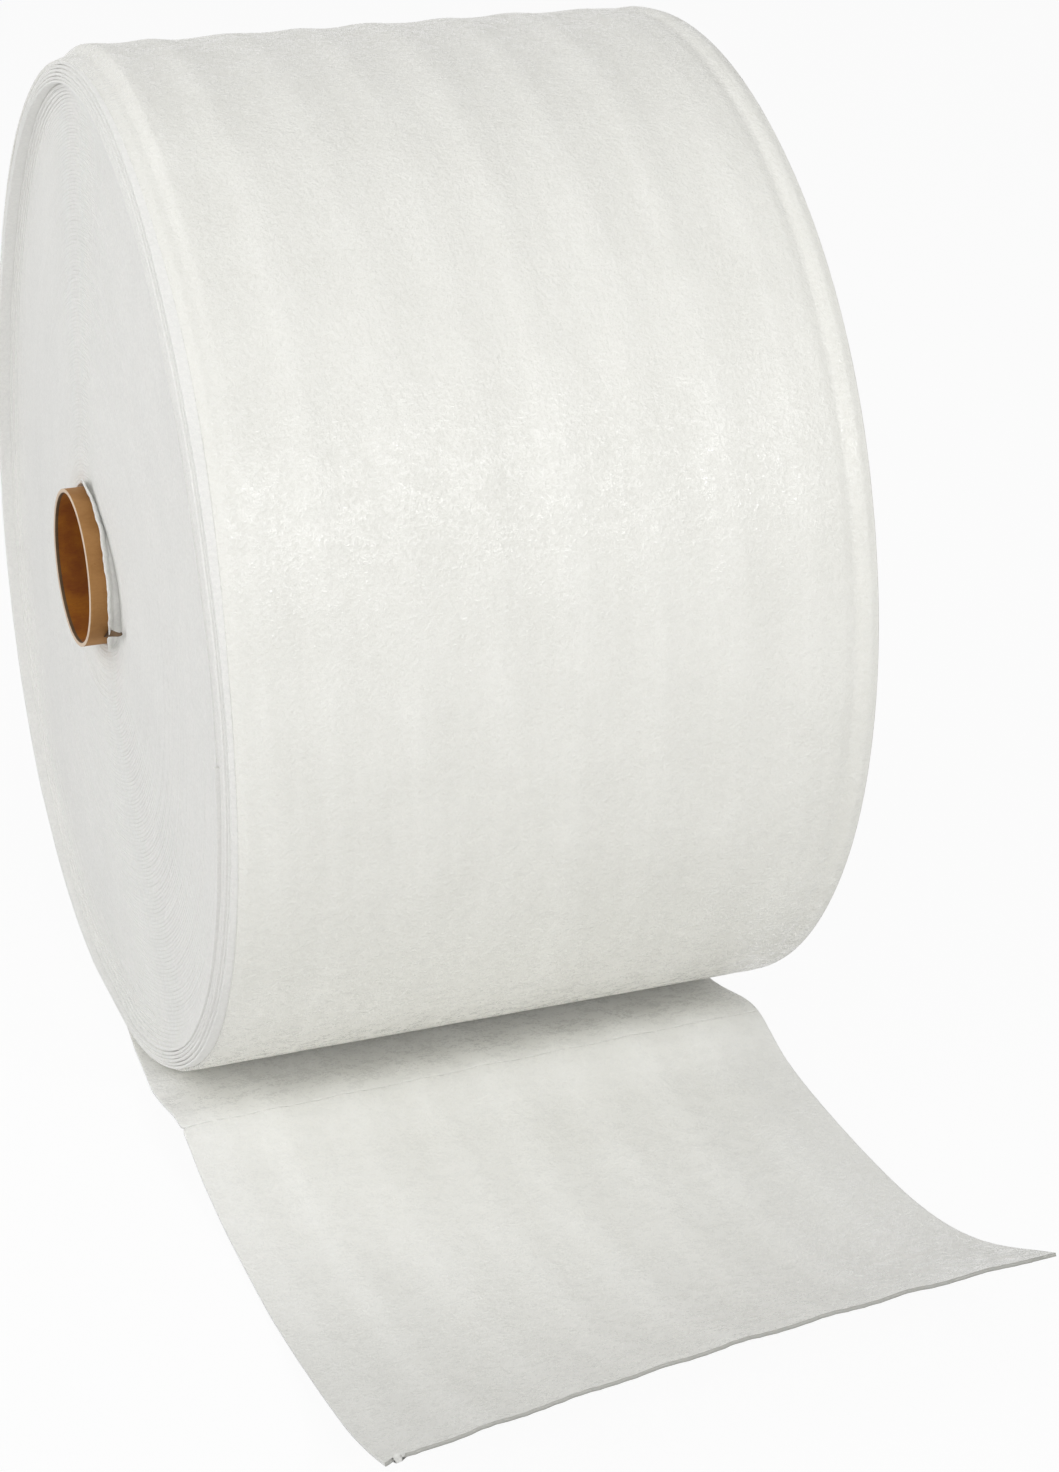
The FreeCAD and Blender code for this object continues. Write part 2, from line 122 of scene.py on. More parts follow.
class Graph:
    """Builds a shader or geometry node tree."""

    def __init__(self, tree: bpy.types.NodeTree) -> None:
        """Keeps the tree, which is empty or as Blender starts it."""
        self.tree = tree

    def add(
        self, kind: str, sockets: Mapping[str | int, object] | None = None, **settings: object
    ) -> bpy.types.Node:
        """Adds one node.

        Args:
            kind: The node's type.
            sockets: What goes in each socket, by name or place: a value or a link.
            settings: Its properties, which are set before its sockets.

        Returns:
            The new node.
        """
        node = self.tree.nodes.new(kind)
        for name, setting in settings.items():
            setattr(node, name, setting)
        for key, content in (sockets or {}).items():
            self.feed(node.inputs[key], content)
        return node

    def feed(self, target: bpy.types.NodeSocket, content: object) -> None:
        """Sets or links one input socket.

        Args:
            target: The input socket.
            content: A Value, an output socket, or a plain value.
        """
        if isinstance(content, Value):
            self.tree.links.new(content.socket, target)
        elif isinstance(content, bpy.types.NodeSocket):
            self.tree.links.new(content, target)
        else:
            target.default_value = content

    def math(self, operation: str, *operands: "Value | float") -> Value:
        """The result of a Math node with these operands."""
        node = self.add("ShaderNodeMath", dict(enumerate(operands)), operation=operation)
        return self.value(node)

    def value(self, node: bpy.types.Node, output: str | int = 0) -> Value:
        """A node's output as a value that takes arithmetic."""
        return Value(self, node.outputs[output])

    def painted(self, name: str) -> Value:
        """A number stored on the piece, as a material reads it."""
        return self.value(self.add("ShaderNodeAttribute", attribute_name=name), "Fac")

    def stored(self, name: str) -> Value:
        """A number stored on the piece, as geometry nodes read it."""
        kind = "GeometryNodeInputNamedAttribute"
        return self.value(self.add(kind, {"Name": name}, data_type="FLOAT"))

    def random(self, number: Value) -> Value:
        """A random value from 0 to 1 for each number."""
        node = self.add("ShaderNodeTexWhiteNoise", {"W": number}, noise_dimensions="1D")
        return self.value(node)

    def vector(self, x: object, y: object, z: object) -> bpy.types.NodeSocket:
        """The vector with these three parts."""
        return self.add("ShaderNodeCombineXYZ", {"X": x, "Y": y, "Z": z}).outputs[0]

    def mix(self, share: Value, low: object, high: object) -> bpy.types.NodeSocket:
        """Mixes two colours.

        Args:
            share: 0 gives the first, 1 the second.
            low: The first: three numbers or a link.
            high: The second, in the same way.

        Returns:
            The mixed colour.
        """
        ends = ((*end, 1.0) if isinstance(end, tuple) else end for end in (low, high))
        sockets = {0: share, **dict(zip((6, 7), ends))}
        return self.add("ShaderNodeMix", sockets, data_type="RGBA").outputs[2]

    def smooth(self, value: Value, low: float, high: float) -> Value:
        """Rises smoothly from 0 at one value to 1 at another.

        Args:
            value: What is looked up.
            low: Where the rise starts.
            high: Where it ends.

        Returns:
            The share risen.
        """
        sockets = {0: value, 1: low, 2: high, 3: 0.0, 4: 1.0}
        return self.value(
            self.add("ShaderNodeMapRange", sockets, interpolation_type="SMOOTHSTEP"))

    def noise(
        self, vector: object, scale: float, detail: float = 2.0, stretch: Sequence[float] = (1, 1, 1)
    ) -> Value:
        """Adds a noise texture.

        Args:
            vector: Where it is looked up.
            scale: Lumps for each metre.
            detail: Its finer octaves.
            stretch: A factor for each axis.

        Returns:
            The noise, about 0 to 1.
        """
        placed = self.add(
            "ShaderNodeVectorMath", {0: vector, 1: tuple(stretch)}, operation="MULTIPLY")
        sockets = {"Vector": placed.outputs[0], "Scale": scale, "Detail": detail}
        return self.value(self.add("ShaderNodeTexNoise", sockets, noise_dimensions="3D"))


# ------------------------------------------------------------------ finishes


class Surface:
    """A node-based material in the making, round its Principled BSDF."""

    def __init__(self, name: str) -> None:
        """Starts the material.

        Args:
            name: Its name.
        """
        self.material = bpy.data.materials.new(name)
        self.material.use_nodes = True
        self.nodes = self.material.node_tree.nodes
        self.graph = Graph(self.material.node_tree)

    def dress(self, height: Value | float, **content: object) -> bpy.types.Material:
        """Feeds the Principled BSDF.

        Args:
            height: Height of the surface, in metres, for its bump.
            content: What goes in each socket, its name written with _ for a space.

        Returns:
            The material.
        """
        bump = self.graph.add(
            "ShaderNodeBump", {"Strength": 1.0, "Distance": 1.0, "Height": height})
        sockets = self.nodes["Principled BSDF"].inputs
        self.graph.feed(sockets["Normal"], bump.outputs[0])
        for name, fed in content.items():
            self.graph.feed(sockets[name.replace("_", " ")], fed)
        return self.material


@dataclass(frozen=True)
class FoamFinish:
    """Closed-cell foam: a soft white body under a thin pearly skin.

    Attributes:
        name: The material's name.
        tint: Colour where light falls on it.
        shade: Colour in the hollows of its clouding.
        grain: Height of the cells, in metres.
        lumps: Height of the soft unevenness, in metres.
        gloss: Roughness of the skin where it shines.
        matt: Roughness elsewhere.
        turns: How much its brightness changes from turn to turn.
        banded: How much whiter it is on the web's thicker bands.
        drawn: Painted light: the lighter, less yellow colour that the drawn-out sheet's tone is
            lifted towards.
        torn: Painted shade: the colour the drawn sheet darkens towards near its free end, between
            its bands and on its torn edge.
    """

    name: str
    tint: tuple[float, float, float]
    shade: tuple[float, float, float]
    grain: float
    lumps: float
    gloss: float
    matt: float
    turns: float = 0.0
    banded: float = 0.0
    drawn: tuple[float, float, float] = (0.945, 0.945, 0.925)
    torn: tuple[float, float, float] = (0.42, 0.42, 0.39)

    CELLS_PER_METRE = 560.0
    SPECKS_PER_METRE = 1500.0
    CLOUDS_PER_METRE = 24.0
    LUMPS_PER_METRE = 130.0
    STREAKS_PER_METRE = 150.0
    STREAK_SQUEEZE = 0.07
    FINE_CONTRAST = (0.36, 0.64)
    STREAK_CONTRAST = (0.3, 0.7)
    # Where the sheet comes out of the roll: its painted-light lift and its flatter bump start here.
    COMING_OUT = (0.02, 0.1)

    def material(self) -> bpy.types.Material:
        """Makes the material.

        Returns:
            A node-based material on Object coordinates and the piece's attributes.
        """
        surface = Surface(self.name)
        graph = surface.graph
        place = graph.add("ShaderNodeTexCoord").outputs["Object"]
        cells = graph.noise(place, self.CELLS_PER_METRE, 3.0)
        specks = graph.noise(place, self.SPECKS_PER_METRE, 1.0)
        clouds = graph.smooth(graph.noise(place, self.CLOUDS_PER_METRE, 3.0), 0.34, 0.66)
        lumps = graph.noise(place, self.LUMPS_PER_METRE, 2.0)
        bright = (clouds * 0.22 + graph.smooth(cells, *self.FINE_CONTRAST) * 0.43
                  + graph.smooth(specks, *self.FINE_CONTRAST) * 0.35)
        if self.banded:
            along = graph.painted("web_length")
            flat = graph.vector(graph.painted("web_across"), along * self.STREAK_SQUEEZE, 0.0)
            streaks = graph.noise(flat, self.STREAKS_PER_METRE, 3.0)
            streaks = graph.smooth(streaks, *self.STREAK_CONTRAST)
            raised = graph.painted("band") * (clouds * 0.5 + 0.5) * 0.6
            bright = bright * (1.0 - self.banded) + (raised + streaks * 0.4) * self.banded
        if self.turns:
            random = graph.random(graph.painted("turn").math("FLOOR"))
            bright = bright * (1.0 - self.turns) + random * self.turns
        tone = graph.mix(bright.clamped(), self.shade, self.tint)
        height = cells * self.grain + lumps * self.lumps + specks * (self.grain * 0.22)
        if self.banded:
            # Painted light: once the sheet has come out of the roll, its tone is lifted towards the
            # lighter, less yellow drawn colour.
            out = graph.smooth(along, *self.COMING_OUT)
            tone = graph.mix(out * (bright * 0.4 + 0.5).clamped(), tone, self.drawn)
            # Painted shade: the stored torn share darkens the sheet towards its free end, between
            # the bands near the roll and on its torn edge.
            tone = graph.mix(graph.painted("torn"), tone, self.torn)
            height = height * (1.0 - out * 0.35)
        skin = graph.smooth(specks * 0.25 + cells * 0.4 + lumps * 0.35, 0.47, 0.55)
        roughness = self.matt + (self.gloss - self.matt) * skin
        return surface.dress(
            height, Base_Color=tone, Roughness=roughness, IOR=1.45, Sheen_Weight=0.08)


@dataclass(frozen=True)
class KraftFinish:
    """Spiral-wound kraft paperboard.

    Attributes:
        name: The material's name.
        light: Colour of its pale fibres.
        dark: Colour of its dark fibres.
        fibre: Height of the fibres, in metres.
        roughness: Roughness of the paper.
    """

    name: str
    light: tuple[float, float, float]
    dark: tuple[float, float, float]
    fibre: float
    roughness: float

    def material(self) -> bpy.types.Material:
        """Makes the material.

        Returns:
            A node-based material on Object coordinates.
        """
        surface = Surface(self.name)
        graph = surface.graph
        place = graph.add("ShaderNodeTexCoord").outputs["Object"]
        fibres = graph.noise(place, 900.0, 4.0, (0.35, 1.0, 1.0))
        blots = graph.smooth(graph.noise(place, 60.0, 3.0), 0.36, 0.64)
        flecks = graph.smooth(graph.noise(place, 1500.0, 1.0), 0.66, 0.72)
        pale = (fibres * 0.55 + blots * 0.5 - 0.02 - flecks * 0.35).clamped()
        return surface.dress(
            fibres * self.fibre, Base_Color=graph.mix(pale, self.dark, self.light),
            Roughness=self.roughness + (fibres - 0.5) * 0.15, Specular_IOR_Level=0.35)


SKIN = FoamFinish(
    "foam_skin", tint=(0.945, 0.941, 0.895), shade=(0.82, 0.815, 0.765),
    grain=0.0005, lumps=0.00042, gloss=0.17, matt=0.60, banded=0.34,
)
CUT = FoamFinish(
    "foam_cut_edges", tint=(0.91, 0.905, 0.875), shade=(0.82, 0.818, 0.795),
    grain=0.00034, lumps=0.0005, gloss=0.45, matt=0.62, turns=0.12,
)
KRAFT_OUTSIDE = KraftFinish(
    "kraft_outside", light=(0.455, 0.235, 0.079), dark=(0.30, 0.137, 0.038),
    fibre=0.00006, roughness=0.72,
)
KRAFT_INSIDE = KraftFinish(
    "kraft_inside", light=(0.47, 0.172, 0.014), dark=(0.23, 0.056, 0.009),
    fibre=0.00006, roughness=0.7,
)
# The torn ply's colour, which also paints shade on the bore just inside each rim.
KRAFT_TORN_PLY_AND_BORE_SHADE = KraftFinish(
    "kraft_torn_ply_and_bore_shade", light=(0.17, 0.105, 0.05), dark=(0.085, 0.05, 0.024),
    fibre=0.00009, roughness=0.8,
)
KRAFT_CUT = KraftFinish(
    "kraft_cut_edge", light=(0.80, 0.66, 0.52), dark=(0.66, 0.50, 0.37),
    fibre=0.00005, roughness=0.8,
)


@cache
def material_of(finish: FoamFinish | KraftFinish) -> bpy.types.Material:
    """The finish's material, made on first use."""
    return finish.material()


# -------------------------------------------------------------- mesh helpers


def mesh_object(
    name: str, points: np.ndarray, faces: Sequence[Sequence[int]], smooth: bool = True
) -> bpy.types.Object:
    """Makes an object from points and faces.

    Args:
        name: The piece's name.
        points: Its points, one row each, in metres.
        faces: Its faces, as point numbers.
        smooth: Whether its faces shade smoothly.

    Returns:
        The object, linked to the scene, at the origin.
    """
    mesh = bpy.data.meshes.new(name)
    mesh.from_pydata(points.tolist(), [], [list(map(int, face)) for face in faces])
    mesh.validate()
    if smooth:
        mesh.polygons.foreach_set("use_smooth", [True] * len(mesh.polygons))
    made = bpy.data.objects.new(name, mesh)
    bpy.context.scene.collection.objects.link(made)
    return made


def grid_faces(rows: int, columns: int, wrap: bool = False) -> np.ndarray:
    """Quads of a grid whose points run along its rows.

    Args:
        rows: Points one way.
        columns: Points the other way, the fast one.
        wrap: Whether the last column joins the first.

    Returns:
        One row of four point numbers for each quad.
    """
    across = columns if wrap else columns - 1
    row, column = np.meshgrid(np.arange(rows - 1), np.arange(across), indexing="ij")
    after = (column + 1) % columns
    corners = [row * columns + column, row * columns + after,
               (row + 1) * columns + after, (row + 1) * columns + column]
    return np.stack([corner.ravel() for corner in corners], axis=1)


def bake(piece: bpy.types.Object) -> bpy.types.Object:
    """Turns what the piece's modifiers make into its plain mesh.

    Args:
        piece: An object with modifiers.

    Returns:
        The same object, with the result as its mesh and no modifiers.
    """
    graph = bpy.context.evaluated_depsgraph_get()
    baked = bpy.data.meshes.new_from_object(piece.evaluated_get(graph))
    piece.modifiers.clear()
    old, piece.data = piece.data, baked
    bpy.data.meshes.remove(old)
    baked.name = piece.name
    return piece


def face_outwards(piece: bpy.types.Object) -> None:
    """Turns a closed mesh the right way out if its volume comes out negative.

    Args:
        piece: The object.
    """
    mesh = piece.data
    mesh.calc_loop_triangles()
    points = np.zeros(len(mesh.vertices) * 3)
    corners = np.zeros(len(mesh.loop_triangles) * 3, np.int32)
    mesh.vertices.foreach_get("co", points)
    mesh.loop_triangles.foreach_get("vertices", corners)
    a, b, c = np.moveaxis(points.reshape(-1, 3)[corners.reshape(-1, 3)], 1, 0)
    if (a * np.cross(b, c)).sum() < 0:
        mesh.flip_normals()


def thicken(piece: bpy.types.Object, gauge: float, offset: float = 0.0) -> None:
    """Gives a single layer its thickness.

    Args:
        piece: The layer, which becomes a closed mesh.
        gauge: Its thickness.
        offset: Which side the thickness goes to, -1 or 1; 0 is half each way.
    """
    solid = piece.modifiers.new("gauge", "SOLIDIFY")
    solid.thickness, solid.offset = gauge, offset
    bake(piece)
    face_outwards(piece)


def layer(
    name: str, spots: np.ndarray, gauge: float, finish: FoamFinish | KraftFinish
) -> bpy.types.Object:
    """Makes a thin piece from a grid of points.

    Args:
        name: The piece's name.
        spots: Its middle, rows by columns by three.
        gauge: Its thickness.
        finish: Its finish.

    Returns:
        The closed piece.
    """
    piece = mesh_object(name, spots.reshape(-1, 3), grid_faces(*spots.shape[:2]))
    thicken(piece, gauge)
    piece.data.materials.append(material_of(finish))
    return piece


def points_at(x: np.ndarray, y: np.ndarray, z: np.ndarray) -> np.ndarray:
    """Points from their coordinates, each spread over the same grid."""
    return np.stack(np.broadcast_arrays(x, y, z), axis=-1)


def hump(value: np.ndarray, place: float, spread: float) -> np.ndarray:
    """A smooth hump that is 1 at its place and small past its spread."""
    return np.exp(-(((value - place) / spread) ** 2))


def step(value: np.ndarray | float, low: float, high: float) -> np.ndarray:
    """Rises smoothly from 0 at low to 1 at high."""
    share = np.clip((np.asarray(value, float) - low) / (high - low), 0.0, 1.0)
    return share * share * (3.0 - 2.0 * share)


def waves(value: np.ndarray, seed: int, length: float, count: int = 5) -> np.ndarray:
    """Soft random unevenness along one direction.

    Args:
        value: Where it is looked up.
        seed: Picks the unevenness.
        length: Its longest wave, in the value's unit.
        count: How many waves are added up.

    Returns:
        The unevenness, mostly within -1 and 1.
    """
    random = np.random.default_rng(seed)
    total = np.zeros_like(np.asarray(value, float))
    for number in range(count):
        wave = length / (1.0 + number * random.uniform(0.55, 0.95))
        total += np.sin(TURN * value / wave + random.uniform(0, TURN)) / (1.0 + 0.6 * number)
    return total / 1.9


def curve_through(
    value: np.ndarray, stations: Sequence[float], heights: Sequence[float]
) -> np.ndarray:
    """A smooth line through given points.

    Args:
        value: Where it is looked up; held at its ends.
        stations: The points' places, rising.
        heights: The line's value at each.

    Returns:
        The line at each looked-up place.
    """
    place, height = np.asarray(stations, float), np.asarray(heights, float)
    slope = np.gradient(height, place)
    value = np.clip(value, place[0], place[-1])
    number = np.clip(np.searchsorted(place, value, side="right") - 1, 0, len(place) - 2)
    gap = place[number + 1] - place[number]
    share = (value - place[number]) / gap
    rest = 1.0 - share
    return (height[number] * (1.0 + 2.0 * share) * rest ** 2
            + height[number + 1] * (3.0 - 2.0 * share) * share ** 2
            + gap * share * rest * (slope[number] * rest - slope[number + 1] * share))


# ----------------------------------------------------------------- the roll


@dataclass
class RollSize:
    """Sizes of the wound roll.

    Attributes:
        width: Width of the web.
        gauge: Thickness of the web.
        radius: Outside of the last turn.
        tube: Outside radius of the tube, with its clearance.
        pitch: Radius taken by one turn.
        loose: Radial depth of the last turns, which sit aside from the rest.
        slip: How far the slid turns' inner corner stands out towards -X.
        shift: How far the turns under them are pushed towards +X.
        creep: How far the turns at the tube have crept back towards -X.
        crush: How far the left rim is pressed in near the top.
        crush_width: How far from the edge it starts.
        crush_ease: Over what width it reaches its depth.
        crush_angle: Where it is deepest, in radians; a quarter turn is the top.
    """

    width: float = 304.8 * MM
    gauge: float = 1.6 * MM
    radius: float = 258.0 * MM
    tube: float = 40.2 * MM
    pitch: float = 1.9 * MM
    loose: float = 13.0 * MM
    slip: float = 4.0 * MM
    shift: float = 6.0 * MM
    creep: float = 11.6 * MM
    crush: float = 5.0 * MM
    crush_width: float = 13.0 * MM
    crush_ease: float = 6.0 * MM
    crush_angle: float = 1.4

    @property
    def half(self) -> float:
        """Half the web's width."""
        return self.width / 2

    @property
    def flat_depth(self) -> float:
        """How much the flat spot takes off the last turn."""
        return self.radius + FLOOR


@dataclass
class Ridges:
    """The bands that run along the web, where it is a little thicker.

    Attributes:
        places: Where each band lies across the width.
        half_width: Half the width of a band.
        height: How far a band stands out.
    """

    places: tuple[float, ...] = (-0.138, -0.108, -0.069, -0.0315, 0.004, 0.044, 0.0815, 0.119)
    half_width: float = 9.5 * MM
    height: float = 1.1 * MM

    def profile(self, across: np.ndarray) -> np.ndarray:
        """How far the web stands out at each place across its width.

        Args:
            across: Places across the width, in metres.

        Returns:
            The height at each.
        """
        random = np.random.default_rng(11)
        total = np.zeros_like(across)
        for place in self.places:
            strength, spread = random.uniform(0.65, 1.1), random.uniform(0.85, 1.2)
            total += strength * hump(across, place, self.half_width * spread)
        return total * self.height


class NodeTool:
    """A geometry node tree with named inputs, which a modifier runs on a piece."""

    KINDS = {float: "NodeSocketFloat", int: "NodeSocketInt", type(None): "NodeSocketMaterial"}

    def __init__(self, name: str, inputs: Mapping[str, float | None]) -> None:
        """Makes the tree and its sockets.

        Args:
            name: The tree's name.
            inputs: Its inputs and their defaults, with None for a material.
        """
        self.tree = bpy.data.node_groups.new(name, "GeometryNodeTree")
        self.graph = Graph(self.tree)
        self.identifiers: dict[str, str] = {}
        new_socket = self.tree.interface.new_socket
        for side in ("INPUT", "OUTPUT"):
            new_socket(name="Geometry", in_out=side, socket_type="NodeSocketGeometry")
        for key, default in inputs.items():
            kind = self.KINDS[type(default)]
            socket = new_socket(name=key, in_out="INPUT", socket_type=kind)
            if default is not None:
                socket.default_value = default
            self.identifiers[key] = socket.identifier
        self.source = self.graph.add("NodeGroupInput")

    def given(self, name: str) -> Value:
        """One of the tree's inputs."""
        return self.graph.value(self.source, name)

    def close(self, geometry: bpy.types.NodeSocket) -> None:
        """Ends the tree with real geometry in the material it is given.

        Args:
            geometry: What the tree has made.
        """
        real = self.graph.add("GeometryNodeRealizeInstances", {"Geometry": geometry})
        dressed = self.graph.add(
            "GeometryNodeSetMaterial",
            {"Geometry": real.outputs[0], "Material": self.source.outputs["Foam"]},
        )
        self.graph.add("NodeGroupOutput", {0: dressed.outputs[0]})

    def run(self, piece: bpy.types.Object, settings: Mapping[str, object]) -> None:
        """Runs the tree on a piece and keeps the result as its mesh.

        Args:
            piece: The piece, changed in place.
            settings: Values for the tree's inputs, by name.
        """
        modifier = piece.modifiers.new(self.tree.name, "NODES")
        modifier.node_group = self.tree
        for key, setting in settings.items():
            modifier[self.identifiers[key]] = setting
        bake(piece)


class WebSpiral(NodeTool):
    """Geometry nodes that wind a web of foam into turns.

    The tree draws a flat spiral, gives it the web's section, sets each turn a
    little aside from the next and presses the roll flat where it lies. Seen from
    -X, the web goes inwards as it passes up the back, over the top and down the front.
    """

    WAVES_PER_METRE = 9.0
    RUCKS_PER_METRE = 60.0
    MOUTH_POWER = 3.0
    CRUSHED_RADII = (0.19, 0.25)
    FLATTENED_RADII = (0.12, 0.25)
    INPUTS: Mapping[str, float | None] = {
        "Inner Radius": 40.2 * MM, "Turns": 100.0, "Pitch": 1.9 * MM, "Web Gauge": 1.8 * MM,
        "Web Width": 304.8 * MM, "Start Angle": 0.0, "Segments In A Turn": 96,
        "Edge Roundness": 0.45 * MM, "Left At Outside": 0.0, "Left At Inside": 0.0,
        "Rounding Power": 1.0, "Lean At Outside": 0.0, "Lean At Inside": 0.0,
        "Lean Back": 0.0, "Lean Up": 0.0, "Lean Crosswise": 0.0, "Turn Scatter": 0.2 * MM,
        "Wave Height": 0.4 * MM, "Flat Depth": 2.8 * MM, "Mouth Opening": 0.0,
        "Mouth Angle": 2.8, "Mouth Recess": 0.0, "Recess Angle": 3.7,
        "Mouth Inner Radius": 40.0 * MM, "Mouth Outer Radius": 78.0 * MM,
        "Lip Height": 0.0, "Lip Power": 28.0, "Crush Depth": 0.0, "Crush Width": 13.0 * MM,
        "Crush Ease": 6.0 * MM, "Crush Angle": 1.4, "Seed": 3, "Foam": None,
    }

    def __init__(self) -> None:
        """Builds the tree once."""
        super().__init__("wind_web", self.INPUTS)
        self.build()

    def build(self) -> None:
        """Adds the nodes."""
        graph = self.graph
        inner, pitch, turns = self.given("Inner Radius"), self.given("Pitch"), self.given("Turns")
        segments = self.given("Segments In A Turn")
        spiral = graph.add(
            "GeometryNodeCurveSpiral",
            {"Resolution": segments, "Rotations": turns, "Start Radius": inner,
             "End Radius": inner + turns * pitch, "Height": 0.0},
        )
        index = graph.value(graph.add("GeometryNodeInputIndex"))
        turn = index / segments
        angle = self.given("Start Angle") - turn * TURN
        radius = inner + turn * pitch
        along = graph.vector(angle.math("COSINE") * radius, angle.math("SINE") * radius, 0.0)
        placed = graph.add(
            "GeometryNodeSetPosition", {"Geometry": spiral.outputs[0], "Position": along}
        )
        marked = graph.add(
            "GeometryNodeStoreNamedAttribute",
            {"Geometry": placed.outputs[0], "Name": "turn", "Value": turn},
            data_type="FLOAT", domain="POINT",
        )
        upright = graph.add(
            "GeometryNodeSetCurveNormal", {"Curve": marked.outputs[0]}, mode="Z_UP")
        section = graph.add(
            "GeometryNodeCurvePrimitiveQuadrilateral",
            {"Width": self.given("Web Gauge"), "Height": self.given("Web Width")},
            mode="RECTANGLE",
        )
        rounded = graph.add(
            "GeometryNodeFilletCurve",
            {"Curve": section.outputs[0], "Count": 1, "Radius": self.given("Edge Roundness")},
            mode="POLY",
        )
        web = graph.add(
            "GeometryNodeCurveToMesh",
            {"Curve": upright.outputs[0], "Profile Curve": rounded.outputs[0], "Fill Caps": True},
        )
        shaped = self.set_aside(web.outputs[0])
        smooth = graph.add("GeometryNodeSetShadeSmooth", {"Geometry": shaped})
        self.close(smooth.outputs[0])

    def scatter(self, turn: Value) -> Value:
        """How far each turn sits from its neighbours, about -0.5 to 0.5.

        Args:
            turn: The turn's number, with its share.

        Returns:
            A random value for each turn, joined smoothly to the next turn's.
        """
        first = turn.math("FLOOR") + self.given("Seed")
        here, after = (self.graph.random(first + ahead) for ahead in (0.0, 1.0))
        return here + (after - here) * turn.math("FRACT") - 0.5

    def between(self, share: Value, name: str) -> Value:
        """A size that goes from the inside of the winding to its outside.

        Args:
            share: 0 at the inside, 1 at the outside.
            name: What comes before "At Inside" and "At Outside" in the inputs' names.

        Returns:
            The size at that share.
        """
        inside, outside = self.given(f"{name} At Inside"), self.given(f"{name} At Outside")
        return inside + share * (outside - inside)

    def set_aside(self, geometry: bpy.types.NodeSocket) -> bpy.types.NodeSocket:
        """Places the wound web in the roll's frame and works in its unevenness.

        Args:
            geometry: The spiral web, wound about Z.

        Returns:
            The web wound about X.
        """
        graph = self.graph
        place = graph.add("GeometryNodeInputPosition").outputs[0]
        parts = graph.add("ShaderNodeSeparateXYZ", {0: place})
        across, back, up = (graph.value(parts, name) for name in ("Z", "X", "Y"))
        length = (back * back + up * up).math("SQRT")
        cosine, sine = back / length, up / length
        turn = graph.stored("turn")
        share = (turn / self.given("Turns")).math("POWER", self.given("Rounding Power"))
        lean = (cosine * self.given("Lean Back") + sine * self.given("Lean Up")
                + cosine * sine * self.given("Lean Crosswise")) * self.between(share, "Lean")
        lengthwise = (1.0, 1.0, 0.0)
        wave = graph.noise(place, self.WAVES_PER_METRE, 3.0, lengthwise) - 0.5
        lip = (turn / self.given("Turns")).math("POWER", self.given("Lip Power"))
        moved = (across + self.between(share, "Left") + lean - lip * self.given("Lip Height")
                 + self.scatter(turn) * self.given("Turn Scatter")
                 + wave * self.given("Wave Height"))
        near_tube = 1.0 - graph.smooth(
            length, self.given("Mouth Inner Radius"), self.given("Mouth Outer Radius"))
        at_left = graph.smooth(across * -1.0, 0.0, self.given("Web Width") * 0.5)
        angle = up.math("ARCTAN2", back)
        facing, pushed, topmost = (
            ((angle - self.given(f"{name} Angle")).math("COSINE") * 0.5 + 0.5).math("POWER", power)
            for name, power in (
                ("Mouth", self.MOUTH_POWER), ("Recess", self.MOUTH_POWER), ("Crush", CRUSH_POWER)))
        ruck = graph.noise(place, self.RUCKS_PER_METRE, 2.0, lengthwise) * 0.5 + 0.75
        widen = near_tube * at_left * facing * ruck * self.given("Mouth Opening")
        recess = near_tube * at_left * pushed * self.given("Mouth Recess")
        start = self.given("Web Width") * 0.5 - self.given("Crush Width")
        rim = graph.smooth(across * -1.0, start, start + self.given("Crush Ease"))
        outer = graph.smooth(length, *self.CRUSHED_RADII)
        crushed = rim * topmost * outer * self.given("Crush Depth")
        scale = (length + widen - crushed) / length
        low = graph.smooth(length, *self.FLATTENED_RADII) * self.given("Flat Depth") - length
        height = (up * scale).math("MAXIMUM", low)
        target = graph.vector(moved + recess, back * scale, height)
        return graph.add(
            "GeometryNodeSetPosition", {"Geometry": geometry, "Position": target}
        ).outputs[0]

    def wind(self, name: str, settings: Mapping[str, object]) -> bpy.types.Object:
        """Winds one piece.

        Args:
            name: The piece's name.
            settings: Values for the tree's inputs, by name.

        Returns:
            The piece as a plain mesh.
        """
        piece = mesh_object(name, np.zeros((1, 3)), [])
        self.run(piece, settings)
        face_outwards(piece)
        return piece


